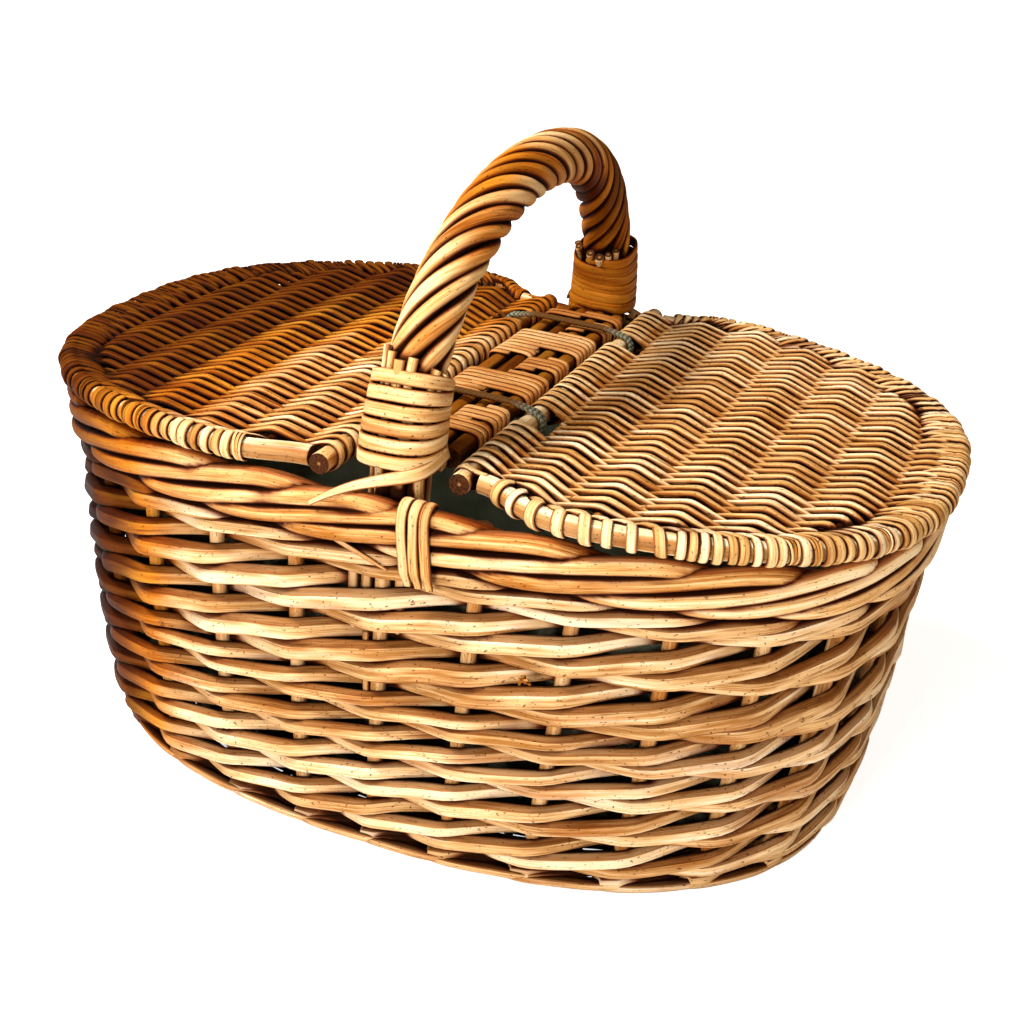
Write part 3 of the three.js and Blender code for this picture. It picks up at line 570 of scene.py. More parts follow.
def make_foot_round(weave):
    """The lowest round: short narrow rods, each in front of two stakes, with both ends tucked behind."""
    stakes = np.linspace(-1.1, 2.1, 34)
    distance = stakes * rim_length / stake_count
    behind = gentle(np.clip(np.abs(stakes - 0.5) - 0.5, 0, 1), 3)
    half_up = foot_round_half_height * (1 - 0.3 * behind)
    for k in range(stake_count):
        inset = foot_round_inset + foot_round_tuck * behind + wander(distance, 90, 0.3)
        climb = foot_round_rise * behind + 0.9 * (stakes - 0.5)
        height = foot_round_height + climb + wander(distance, 140, 0.35)
        points, outward = body_point(rim_angle((k + stakes) / stake_count), height, inset)
        # Painted shade where a rod is tucked in behind the stakes.
        stain_and_shade = np.clip(left_back_darkening(points) + 0.3 * behind, 0, 1)
        weave.rod(points, outward - UP * 0.5, foot_round_half_thickness, half_up, 2.8, stain_and_shade=stain_and_shade)


def stake_half(stake, layer, inward):
    """A stake from its top down the wall and round the bend into the base."""
    angle = rim_angle(stake / stake_count)
    top = rim_height - stake_drop
    under_handle = abs(body_point(angle, top, stake_inset)[0][0]) < stake_inset
    heights = np.linspace(foot_z if under_handle else top, layer + stake_bend, stake_points)
    wall = body_point(angle, heights, stake_inset)[0]
    turn = np.linspace(0, TAU / 4, bend_points + 1)[1:]
    corner = wall[-1] + inward * stake_bend * (1 - np.cos(turn))[:, None]
    corner[:, 2] = layer + (wall[-1][2] - layer) * (1 - np.sin(turn))
    return np.concatenate([wall, corner])


def make_stakes():
    """Each rod runs down one wall, across under the basket and up the opposite wall."""
    sides = 12
    spacing = 12.0  # of a stake's points, roughly
    half = stake_count // 2
    tips = 3  # the stakes before this one, either way round from the tip, run lengthwise
    pairs = [(k % stake_count, half - k, lower_layer, (-1, 0, 0)) for k in range(1 - tips, tips)]
    pairs += [(k, stake_count - k, upper_layer, (0, -1, 0)) for k in range(tips, half - tips + 1)]
    turn = np.arange(sides) / sides * TAU
    # The stake's two sides get painted shade.
    outline = columns(np.cos(turn), np.sin(turn), 0.8 * np.abs(np.cos(turn)))
    share = np.linspace(0, 1, under_points + 2)[1:-1, None]
    for number, (first, second, layer, inward) in enumerate(pairs, 1):
        inward = np.array(inward, float)
        there = stake_half(first, layer, inward)
        back = stake_half(second, layer, -inward)[::-1]
        points = np.concatenate([there, between(there[-1], back[0], share), back])
        radius = stake_radius * (1 + wander(np.arange(len(points)) * spacing, 120, 0.05))
        # The left end gets painted shade, as the wall does.
        stain_and_shade = 0.3 + smooth(-points[:, 0], 110, 190)
        stake = Bundle(sides, (0.4, 1.1))
        stake.rod(points, np.cross(inward, UP), radius, radius, stain_and_shade=stain_and_shade, section=outline)
        stake.build(f"stake_{number:02d}", "wall_willow", [f"through_stake_{number:02d}"])


# Loose bits of willow in the wall: x, y and z of both ends, half width, half thickness
wall_bits = (
    ((-15.5, -153.8, 158), (-14.5, -151.6, 113), 2.7, 2.7),  # lower ends of handle rods
    ((-8.4, -154.2, 158), (-8.0, -152.6, 128), 2.8, 2.8),
    ((8.4, -154.2, 158), (8.2, -152.4, 120), 2.6, 2.6),
    ((-6.0, -157.0, 119), (-3.6, -156.0, 76), 1.7, 0.6),  # a flat strip beside the front stake
    ((-24.0, -164.6, 167), (6.0, -165.8, 157.5), 1.3, 0.8),  # a split end under the border
)
twig_place = (73.5, -161.5, 118.4)
twig_tilts = (0.3, 1.2, 2.2, 2.7, 1.7)  # of the splinters of the broken twig
twig_half_sizes = (0.6, 0.75)


def make_wall_bits():
    bits = Bundle(10, crevice_shade_span=(0.3, 0.8))
    share = np.linspace(0, 1, 14)[:, None]
    taper = 1 - 0.5 * smooth(share[:, 0], 0.6, 1.0)
    for start, end, half_up, half_out in wall_bits:
        points = between(np.array(start), np.array(end), share)
        bits.rod(points, FORWARD, half_out * taper, half_up * taper, 2.3, stain_and_shade=0.2)
    for tilt in twig_tilts:
        reach = rng.uniform(1.8, 3.4)
        slope = np.array([math.cos(tilt), rng.uniform(-0.5, 0.1), math.sin(tilt)])
        middle = np.array(twig_place) + rng.uniform(-1.2, 1.2, 3) * (1.4, 0.3, 0.7)
        points = middle + (share - 0.5) * 2 * reach * slope
        bits.rod(points, FORWARD, *twig_half_sizes, stain_and_shade=rng.uniform(0, 0.9))
    bits.build("wall_bits", "wall_willow")


def make_base():
    """Rounds of thin willow woven over and under flat spokes."""
    mat = Bundle(8)
    middle = 3.0
    round_pitch, round_radius, round_inset = 5.3, 1.75, 3.2
    rise = 1.05  # of a round as it passes over a spoke
    bare_middle = 8
    spoke_start, spoke_end = 0.12, 0.985  # of the way from the middle to the edge
    spoke_half_thickness, spoke_half_width = 0.9, 2.2
    rounds = int((base_half_width - bare_middle) / round_pitch)
    turns = np.linspace(0, TAU, stake_count * 10 + 1)
    for k in range(rounds):
        inset = round_inset + k * round_pitch
        across, over = oval(turns, base_power - 0.3 * k / rounds)
        height = middle + rise * (-1) ** k * np.sin(stake_count / 2 * turns)
        points = columns((base_half_length - inset) * across, (base_half_width - inset) * over, height)
        mat.rod(points, UP, round_radius, round_pitch * 0.47, 2.4, stain_and_shade=0.3)
    reach = np.linspace(spoke_start, spoke_end, 30)
    for k in range(stake_count):
        across, over = oval((k + 0.5) / stake_count * TAU, base_power)
        points = columns(base_half_length * across * reach, base_half_width * over * reach, middle)
        mat.rod(points, UP, spoke_half_thickness, spoke_half_width, 2.6, stain_and_shade=0.3)
    mat.build("base_mat", "wall_willow", ["base_weave"], material="foot_willow")


# Border: one rod comes out at every stake, climbs over three more and turns in behind the rim
border_sets = 4
border_radius = 4.5
border_inset = 2.6
border_low, border_top = 167, 187.4
border_climb = 9.8  # for each stake
border_climb_start = 0.55  # in stakes
appear_inset, appear_drop = 10, 1.5  # of a rod's first end, behind the wall
tuck_inset, tuck_drop = 13, 9  # of its last end, inside the rim


def make_border():
    steps = np.arange(-0.55, 3.75, 0.09)
    distance = steps * rim_length / stake_count
    late = steps - border_climb_start
    climb = border_climb * (np.sqrt(late ** 2 + 0.12) + late) / 2
    tuck = smooth(steps, 2.75, 3.6)
    appear = 1 - smooth(steps, -0.5, 0.35)
    height = gentle(np.minimum(border_low + climb, border_top), 8) - tuck_drop * tuck - appear_drop * appear
    inset = border_inset + appear_inset * appear + tuck_inset * tuck
    size = (0.55 + 0.45 * smooth(steps, -0.5, 0.9)) * (1 - 0.3 * smooth(steps, 2.9, 3.7))
    for number in range(border_sets):
        rods = Bundle(14, crevice_shade_span=(0.13, 0.4))
        for k in range(number, stake_count, border_sets):
            angles = rim_angle((k + steps + rng.uniform(-0.12, 0.12)) / stake_count)
            points, outward = body_point(
                angles,
                height + wander(distance, 200, 0.5),
                inset + np.maximum(wander(distance, 110, 0.5), -0.3),
            )
            radius = border_radius * size * rng.uniform(0.96, 1.03)
            # Painted shade where a rod comes out from behind the wall and where it tucks in inside the rim.
            stain_and_shade = np.clip(left_back_darkening(points) + 0.5 * np.maximum(tuck, appear), 0, 0.9)
            rods.rod(points, outward, radius * 0.96, radius * 1.03, 2.15, stain_and_shade=stain_and_shade)
        rods.build(f"border_rods_{number + 1}", "border_willow", [f"border_rod_{number + 1}"])


# Liner: a gathered cotton cup inside the wall
liner_around = 420  # points in one loop
liner_inset = 22.2
liner_floor, liner_knee, liner_top = 20.6, 38, 157  # heights
liner_floor_inset = 48  # where the floor starts to turn up
liner_middle_inset = 150
liner_thickness = 1.0


def liner_profile():
    """Height, inset and depth of the folds, from the middle of the floor to the top edge."""
    profile = []
    for share in np.linspace(0, 1, 8):
        profile.append((liner_floor + 0.4, between(liner_middle_inset, liner_floor_inset, share), 0.0))
    for turn in np.linspace(0, TAU / 4, 7)[1:]:
        height = between(liner_floor, liner_knee, 1 - math.cos(turn))
        profile.append((height, between(liner_floor_inset, liner_inset, math.sin(turn)), 0.35))
    for share in np.linspace(0, 1, 12)[1:]:
        profile.append((between(liner_knee, liner_top, share), liner_inset, 0.35 + 0.65 * share))
    return profile


def make_liner():
    turns = np.arange(liner_around) / liner_around
    angles = rim_angle(turns)
    folds = np.zeros(liner_around)
    for count, size in ((23, 1.0), (37, 0.7), (61, 0.45)):
        folds += size * np.sin(count * turns * TAU + rng.uniform(0, TAU))
    folds = 1.1 * (folds + 2.0)
    outside, inside = [], []
    for height, inset, fold in liner_profile():
        outside.append(body_point(angles, height, inset + folds * fold)[0])
        shift = liner_thickness if height > liner_knee else liner_thickness * 0.7
        points = body_point(angles, height, inset + folds * fold + shift)[0]
        points[:, 2] += liner_thickness * (1 - smooth(height, liner_floor + 1, liner_knee))
        inside.append(points)
    loops = outside + inside[::-1]
    points = np.concatenate(loops) * MM
    quads, caps = tube_faces(len(loops), liner_around)
    mesh = bpy.data.meshes.new("liner")
    mesh.from_pydata(points.tolist(), [], quads + caps)
    mesh.polygons.foreach_set("use_smooth", np.ones(len(mesh.polygons), bool))
    mesh.materials.append(materials["liner_cloth"])
    # The outside of the cloth gets painted shade.
    add_values(mesh, "stain_and_shade", np.arange(len(points)) < len(outside) * liner_around)
    liner = add_object("liner", mesh)
    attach(liner, "root")
    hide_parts("cloth_liner")


# Handle: a core with eight rods twisted round it
foot_y = 143
handle_rise = 112
handle_power = 2.19
handle_lean_x, handle_lean_y = 2, 4
core_radius = 7.4
strand_count = 8
strand_circle = 10.8
strand_thickness, strand_width = 3.3, 3.85  # half sizes
strand_turns = 2.75  # as a right hand screw turns
straight_length = 90


def arch_samples():
    turn = np.linspace(0, math.pi, 1200)
    across, rise = oval(turn, handle_power)
    lean = np.sin(turn) ** 2
    y = -foot_y * across + handle_lean_y * lean
    arch = columns(handle_lean_x * lean, y, hinge_z + handle_rise * rise)
    drop = np.linspace(foot_z, hinge_z, 60)[:-1]
    return np.concatenate([columns(0, -foot_y, drop), arch, columns(0, foot_y, drop[::-1])])


arch_line = arch_samples()
arch_lengths = lengths_along(arch_line)
arch_length = arch_lengths[-1]


def handle_frame(distance):
    """The handle's middle and two directions square to it, one to the right and one to the back."""
    before, middle, after = (along_line(distance + shift, arch_lengths, arch_line) for shift in (-4, 0, 4))
    axis = unit(after - before)
    side = unit(np.array([1.0, 0, 0]) - axis * axis[..., :1])
    return middle, side, np.cross(axis, side)


def handle_spoke(distance, turn):
    """The handle's middle and a direction out from it: no turn is to its right, a quarter behind it."""
    middle, side, over = handle_frame(distance)
    return middle, side * np.cos(turn)[:, None] + over * np.sin(turn)[:, None]


def from_foot(distance, end):
    """Turns distances from the front or the back end of the handle's line into distances along it."""
    return distance if end == "front" else arch_length - distance


def make_handle():
    middle, side, _ = handle_frame(np.linspace(0, arch_length, 160))
    core = Bundle(12)
    core.rod(middle, side, core_radius, core_radius, stain_and_shade=0.8)
    core.build("handle_heart", "handle_willow", ["handle_core"])
    twist_length = arch_length - 2 * straight_length
    distance = np.linspace(0, arch_length, 260)
    twisted = gentle(np.clip(distance - straight_length, 0, twist_length), 40)
    for k in range(strand_count):
        turn = ((k + 0.5) / strand_count + twisted / twist_length * strand_turns) * TAU
        middle, outward = handle_spoke(distance, turn + wander(distance, 110, 0.08))
        points = middle + outward * (strand_circle + wander(distance, 90, 0.2))[:, None]
        width = strand_width * (1 + wander(distance, 120, 0.1))
        # The back leg gets painted shade, where the light falls off; the top of the arch is darker too.
        back_leg = smooth(points[:, 1], 30, 120)
        raised = smooth(points[:, 2], 250, 310)
        stain_and_shade = np.clip(0.08 + 0.62 * back_leg + 0.25 * raised + wander(distance, 130, 0.26), 0, 1)
        strand = Bundle(14, crevice_shade_span=(0.12, 0.36))
        strand.rod(points, outward, strand_thickness, width, 2.25, stain_and_shade=stain_and_shade)
        strand.build(f"handle_strand_{k + 1}", "handle_willow", [f"handle_rod_{k + 1}"])


# Collars: flat skein wound round each foot of the handle
collar_start = 50
collar_turns = 6.1
collar_pitch = 6.45
collar_inner = 15.9
collar_spread = 1.6
collar_power = 2.7
skein_thickness, skein_width = 0.85, 3.28  # half sizes
skein_tone = 0.6


def make_collar(end):
    turns = np.linspace(0, collar_turns, int(collar_turns * 40))
    distance = collar_start + collar_pitch * turns + wander(turns, 1.9, 0.12)
    middle, side, over = handle_frame(from_foot(distance, end))
    first_turn, stain_and_shade = {"front": (0, 0.1), "back": (1.2, 0.55)}[end]
    half = collar_inner + skein_thickness + collar_spread * (1 - turns / collar_turns)
    across, up = oval(turns * TAU + first_turn, collar_power)
    steep = collar_power - 1
    outward = unit(side * bend(across, steep)[:, None] + over * bend(up, steep)[:, None])
    points = middle + (side * across[:, None] + over * up[:, None]) * half[:, None]
    ends = fade(turns, 0, collar_turns, 0.12)
    width = skein_width * (0.4 + 0.6 * ends) * (1 + wander(turns, 2.7, 0.03))
    collar = Bundle(12, crevice_shade_span=(0.1, 0.4))
    collar.rod(points, outward, skein_thickness, width, 3.6, tone=skein_tone, stain_and_shade=stain_and_shade)
    collar.build(f"collar_wrap_{end}", "skein", [f"handle_collar_{end}"])


stub_start, stub_end = -9, 2.5  # from the collar's top
stub_circle_low, stub_circle_high = 13.4, 16.4
tail_half_thickness, tail_half_width = 0.9, 3.3
# Cut ends of spare rods that stand in the top of a collar: turn in degrees, extra height, radius
stubs = (
    (-130, 6.5, 1.9), (-114, 4.2, 2.0), (-96, 1.6, 2.7),
    (-76, 3.4, 2.4), (-36, 1.4, 2.2), (-20, 0.8, 1.9),
)
# The collar's loose end, as places on the front foot of the handle and the border
tail_line = (
    (18.8, -136, 207), (19.0, -149, 205.5), (16.5, -158.5, 203.5),
    (7.5, -161.8, 200.8), (-3.4, -164, 197.4), (-13, -167.6, 194.2),
    (-21, -170, 190), (-27, -170.8, 186), (-31, -170.4, 183),
)


def make_collar_ends(end):
    ends = Bundle(12, crevice_shade_span=(0.2, 0.6))
    top = collar_start + collar_pitch * collar_turns
    half_turn, turn_round = {"front": (0, 1), "back": (180, np.array([-1.0, -1, 1]))}[end]
    for degrees, height, radius in stubs:
        distance = from_foot(top + np.linspace(stub_start, stub_end + height, 8), end)
        middle, outward = handle_spoke(distance, np.full(8, math.radians(degrees + half_turn)))
        circle = np.linspace(stub_circle_low, stub_circle_high, 8)[:, None]
        ends.rod(middle + outward * circle, outward, radius, radius)
    share = np.linspace(0, 1, 40)
    knots = np.array(tail_line)
    where = np.linspace(0, 1, len(knots))
    points = gentle(along_line(share, where, knots), 6)
    x = points[:, 0]
    outward = unit(columns(0.9 * smooth(x, 4, 19), -1 + 0.7 * smooth(x, 8, 19), 0.25)) * turn_round
    width = tail_half_width * (1 - 0.62 * smooth(share, 0.25, 0.95))
    ends.rod(points * turn_round, outward, tail_half_thickness, width, 2.8, tone=skein_tone)
    ends.build(f"collar_ends_{end}", "skein")


# Bar: four rods with bands of skein round them
bar_pitch = 10.4
bar_radius = 5.0
bar_count = 4
wrap_width = 5.0
wrap_thickness = 1.4
wrap_pitch = 5.5
wrap_power = 5.0
# Each band's place as a share of half the bar's length, its side and its turns. No side is all four rods.
bands = (
    (-0.79, 0, 3), (-0.22, 0, 6), (0.4, 0, 6), (0.87, 0, 2),
    (-0.62, 1, 4), (-0.37, -1, 3), (0.08, 1, 4), (0.2, -1, 3), (0.7, 1, 3),
)


def make_bar():
    for k in range(bar_count):
        along = np.linspace(-bar_half_length, bar_half_length, 60)
        x = (k - (bar_count - 1) / 2) * bar_pitch + wander(along, 160, 0.15)
        points = columns(x, along, hinge_z + wander(along, 150, 0.2))
        rod = Bundle(14, crevice_shade_span=(0.13, 0.4))
        rod.rod(points, UP, bar_radius * 0.98, bar_radius * (1 + wander(along, 130, 0.02)), stain_and_shade=0.8)
        rod.build(f"bar_stick_{k + 1}", "wall_willow", [f"bar_rod_{k + 1}"])


def make_bar_wrap():
    wrap = Bundle(8, crevice_shade_span=(0.11, 0.4))
    half_tall = bar_radius + wrap_thickness / 2 + 0.1
    steep = wrap_power - 1
    for share, side, turns in bands:
        half_wide = bar_radius + (bar_pitch / 2 + 0.8 if side else bar_pitch * (bar_count - 1) / 2 + 0.9)
        steps = np.linspace(0, turns, int(turns * 40) + 1)
        start = share * bar_half_length - turns / 2 * wrap_pitch
        across, up = oval(steps * TAU + TAU / 4, wrap_power)
        outward = unit(columns(bend(across, steep) / half_wide, 0, bend(up, steep) / half_tall))
        y = start + wrap_pitch * steps + wander(steps, 3.1, 0.2)
        points = columns(side * bar_pitch + half_wide * across, y, hinge_z + half_tall * up)
        wrap.rod(points, outward, wrap_thickness / 2, wrap_width / 2, 2.8, stain_and_shade=0.25)
    wrap.build("bar_bands", "skein", ["bar_wrap"])


# Hinge ties: turns of cord round both hinge sticks and the bar
neck_radius, neck_half_length = 4.7, 5  # of a hinge stick where a tie goes round it
tie_turns = 2
tie_radius = 1.2
tie_pitch = 3
tie_reach = neck_radius + 0.5 + tie_radius + 0.3
tie_bar_x, tie_bar_reach = 20, tie_reach + 2.1  # where the cord passes the bar's edge


def make_tie(end):
    loop = []
    for side in (1, -1):
        loop.append((side * tie_bar_x, -side * tie_bar_reach))
        for angle in np.linspace(-TAU / 4, TAU / 4, 15):
            x, z = hinge_x + tie_reach * math.cos(angle), tie_reach * math.sin(angle)
            loop.append((side * x, side * z))
        loop.append((side * tie_bar_x, side * tie_bar_reach))
    count = tie_turns * len(loop) + 1
    x, z = np.array([loop[k % len(loop)] for k in range(count)]).T
    along = (np.arange(count) / len(loop) - tie_turns / 2) * tie_pitch
    grime_and_shade = 1 - smooth(np.abs(x), hinge_x - 8, hinge_x - 3)
    tie = Bundle(8)
    points = columns(x, tie_y[end] + along, hinge_z + z)
    tie.rod(points, -FORWARD, tie_radius, tie_radius, tone=0.5, stain_and_shade=grime_and_shade)
    tie.build(f"tie_cord_{end}", "hinge_cord", [f"hinge_tie_{end}"])


# Lashes: strands of skein from the collar down over the border
lash_x = 19
lash_width = 16
lash_strands = 3
lash_top, lash_end = 186.9, 153
lash_inset, lash_reach = 3, 5.7  # the border's middle, and how far the skein lies from it
lash_half_thickness = 1.3


def make_lash(end):
    side = -1 if end == "front" else 1
    lash = Bundle(10)
    strand_width = lash_width / lash_strands
    over_turns = np.linspace(0.375 * TAU, 0, 14)[:-1]
    on_top = 0 * over_turns
    fall = np.linspace(0, 1, 26)
    turns = np.concatenate([over_turns, 0 * fall])
    heights = np.concatenate([on_top + lash_top, between(lash_top, lash_end, fall)])
    lean = np.concatenate([on_top, 3.4 * fall ** 1.6])
    inward = np.concatenate([on_top, 2.8 * smooth(fall, 0.75, 1.0)])
    size = np.concatenate([on_top + 1, 1 - 0.3 * smooth(fall, 0.7, 1.0)])
    base = body_point(side * TAU / 4, heights, lash_inset)[0]
    y = base[:, 1] + side * (lash_reach * np.cos(turns) - inward)
    z = base[:, 2] + lash_reach * np.sin(turns)
    outward = columns(0, side * np.cos(turns), np.sin(turns))
    for k in range(lash_strands):
        x = lash_x + (k - (lash_strands - 1) / 2) * strand_width + lean + wander(heights, 60, 0.25)
        points = columns(x, y, z)
        lash.rod(points, outward, lash_half_thickness * size, strand_width * 0.49 * size, 2.4, stain_and_shade=0.15)
    lash.build(f"lash_strands_{end}", "skein", [f"border_lash_{end}"])


# Lids
end_overhang, side_overhang = 7, 6
lid_half_length = rim_half_length + end_overhang
lid_half_width = rim_half_width + side_overhang
droop = math.atan(rim_dip / (rim_half_length - hinge_x))
corner_reach = 26
bow_radius = 4.75
rib_count = 5
rib_radius = 3.0
tip_x = lid_half_length - 2 * stick_radius - hinge_x
rib_pitch = tip_x / (rib_count + 1)
pass_count = 72
pass_room = 9  # that the outer strands leave free at the ends of the hinge stick
rib_inset, pass_inset = 5.5, 4.5  # of the ends of ribs and strands, in from the middle of the bow stick
core_stick = 5.0  # radius of the hinge stick under the strands
hinge_room = 12  # from the hinge axis to where the panel begins
strand_on_stick, strand_in_panel = 0.75, 1.6  # half a strand's thickness
strand_rib_width, strand_gap_width = 2.65, 2.0  # half a strand's width over a rib and between two
over_height, under_height = 4.75, -3.9
spread_length = 55  # over which the strands spread out to the panel's full width
curl_length = 7  # over which a strand comes down from the hinge stick
end_height, end_length = 3.6, 16  # of a strand's end, where it meets the bow stick
ridge_sharpness = 0.985  # 1 makes the strands' waves pointed
strand_slant = 0.9  # how far a strand leans sideways as it passes over a rib
edge_wrap_room = 1.2  # what the skein round the bow stick needs inside the lid's outline
wrap_radius, wrap_half_thickness = 5.4, 1.05
wrap_first_turn, wrap_last_turn = 0.31, -0.33  # of a whole turn, from the outside of the bow stick
close_wraps, loose_wraps = 5.7, 10.0  # distances between the turns of skein
wrap_tail = 13  # how far a turn's first end runs into the panel
wrap_tail_drop, wrap_tail_rise = 4.2, 3.6  # of its ends, above and under the panel
loose_length = 100  # of the right lid's bow stick, from its front corner
bare_lengths = {"right": 14, "left": 34}  # of the bow stick at a lid's front corner
frayed_share = 0.14  # of the turns round the bow stick, which have split into three


class Lid:
    """A lid in its own frame: the hinge axis is Y, the lid lies towards +X, and front is its minus side
    on the right lid and its plus side on the left lid."""

    def __init__(self, name):
        self.name = name
        self.sign = 1 if name == "right" else -1
        self.body = f"{name}_lid"
        self.corners = lid_corners[name]
        self.ties = [self.sign * y for y in tie_y.values()]
        self.bow = self.bow_line()
        self.lengths = lengths_along(self.bow)
        self.length = self.lengths[-1]

    def turned(self, vectors):
        """Directions of the lid's frame as the basket has them."""
        x = vectors[..., 0] * math.cos(droop) + vectors[..., 2] * math.sin(droop)
        z = vectors[..., 2] * math.cos(droop) - vectors[..., 0] * math.sin(droop)
        return columns(self.sign * x, self.sign * vectors[..., 1], z)

    def world(self, points):
        """Points of the lid's frame as the basket has them."""
        return self.turned(points) + (self.sign * hinge_x, 0, hinge_z)

    def bow_line(self):
        """Middle line of the bow stick from its minus corner to its plus corner."""
        half_length = lid_half_length - stick_radius - edge_wrap_room
        half_width = lid_half_width - stick_radius - edge_wrap_room
        start_x = hinge_x + stick_radius + 0.8
        start_turn = math.acos((start_x / half_length) ** (rim_power / 2))
        full_y = half_width * math.sin(start_turn) ** (2 / rim_power)
        turn = np.linspace(-start_turn, start_turn, 900)
        across, over = oval(turn, rim_power)
        x = half_length * across
        corner = np.where(turn < 0, self.corners[0], self.corners[1])
        draw = full_y - (corner - 1 - stick_radius)
        near = np.exp(-(((x - start_x) / corner_reach) ** 2))
        y = half_width * np.abs(over) - draw * near
        return columns(x - hinge_x, np.sign(turn) * y, 0)

    def at(self, distance):
        """The bow stick's middle and its inward direction, a distance along it."""
        before, middle, after = (along_line(distance + by, self.lengths, self.bow) for by in (-2, 0, 2))
        return middle, np.cross(UP, unit(after - before))

    def reach(self, x, sign, inset):
        """How far the panel reaches from the middle at a distance from the hinge."""
        middle, inward = self.at(np.linspace(0, self.length, 700))
        line = middle + inward * inset
        half = line[sign * line[:, 1] > 0]
        half = half[np.argsort(half[:, 0])]
        return np.interp(x, half[:, 0], np.abs(half[:, 1]), right=0)

    def has_loose_wraps(self, distance):
        """Near the right lid's front corner the skein has come loose."""
        return self.name == "right" and distance < loose_length


def make_sticks(lid):
    end_size = core_stick + 0.6
    inner = np.arange(-lid.corners[0] + 4, lid.corners[1] - 3, 3.0)
    stops = np.concatenate([[-lid.corners[0]], inner, [lid.corners[1]]])
    sizes = np.concatenate([[end_size], np.full(len(inner), core_stick), [end_size]])
    for tie in lid.ties:
        sizes = np.minimum(sizes, neck_radius + 0.3 * (np.abs(stops - tie) > neck_half_length))
    points = lid.world(columns(0, stops, 0))
    hinge = Bundle(16)
    hinge.rod(points, lid.turned(UP), sizes, sizes, stain_and_shade=left_back_darkening(points))
    hinge.build(f"{lid.name}_hinge_pole", "stick_willow", [f"{lid.name}_hinge_stick"], lid.body)
    distance = np.concatenate([[0], np.linspace(1.5, lid.length - 1.5, 240), [lid.length]])
    points = lid.world(lid.at(distance)[0])
    radius = bow_radius * (1 + wander(distance, 140, 0.02))
    bow = Bundle(14, crevice_shade_span=(0.25, 0.8))
    bow.rod(points, lid.turned(UP), radius, radius, tone=1.0, stain_and_shade=left_back_darkening(points) * 0.5 - 0.1)
    bow.build(f"{lid.name}_bow_pole", "stick_willow", [f"{lid.name}_bow_stick"], lid.body)
    for k in range(rib_count):
        x = (k + 1) * rib_pitch
        y = np.linspace(-lid.reach(x, -1, rib_inset), lid.reach(x, 1, rib_inset), 50)
        points = lid.world(columns(x, y, 0))
        radius = rib_radius * (1 + wander(y, 140, 0.03))
        rib = Bundle(12)
        rib.rod(points, lid.turned(UP), radius, radius, stain_and_shade=0.4)
        rib.build(f"{lid.name}_rib_stick_{k + 1}", "stick_willow", [f"{lid.name}_rib_{k + 1}"], lid.body)


def strand_height(x, side):
    """Height of a strand: over one rib and under the next. A side of 1 starts over, one of -1 under."""
    phase = side * np.cos(math.pi * x / rib_pitch)
    pointed = np.arcsin(ridge_sharpness * phase) / math.asin(ridge_sharpness)
    return (over_height + under_height) / 2 + (over_height - under_height) / 2 * pointed


def make_lid_pass(lid, y_start, side):
    """One strand from the hinge to the bow, as points, half widths and half thicknesses."""
    sign = 1 if y_start > 0 else -1
    x = np.arange(0, tip_x + 8, 2.0)
    edge = lid.corners[1 if sign > 0 else 0] - pass_room
    widest = np.max(lid.reach(np.arange(10, 120, 5.0), sign, 7.5))
    y = y_start * (1 + (widest / edge - 1) * smooth(x, 0, spread_length))
    keep = (np.abs(y) < lid.reach(x, sign, pass_inset)) | (x < hinge_room)
    last = np.argmin(keep) if not keep.all() else len(x)
    x, y = x[:last], y[:last]
    slant = -strand_slant * lid.sign * side
    y = y + wander(x, 70, 0.4) + slant * np.sin(math.pi * x / rib_pitch) * smooth(x, 4, 20)
    z = strand_height(x, side) + wander(x, 50, 0.2)
    z = between(z, side * (core_stick + strand_on_stick), np.exp(-((x / curl_length) ** 2)))
    z = between(z, side * end_height, 1 - smooth(x[-1] - x, 0, end_length))
    flat = np.abs(np.cos(math.pi * x / rib_pitch))
    front = smooth(-y, 10, 130) if lid.sign > 0 else 0
    width = between(strand_gap_width, strand_rib_width, flat) * rng.uniform(0.86, 1.1)
    thick = between(strand_on_stick, strand_in_panel, smooth(x, 2, hinge_room))
    return columns(x, y, z), width * (1 - 0.46 * front * (1 - flat)), thick


def painted_flank_shade(lid, points):
    """How much painted shade a strand gets where it falls to the basket's right, and low between two ribs.
    All of the left lid is a little darker."""
    run = np.gradient(points[:, 0]) * lid.sign
    fall = -np.gradient(points[:, 2]) * np.sign(run) / np.maximum(np.abs(run), 0.8)
    shade = 0.36 * smooth(fall, 0.05, 0.6) + 0.25 * (1 - smooth(points[:, 2], -1.5, 2.0))
    return shade * (points[:, 0] > 8) + (0.1 if lid.sign < 0 else 0)


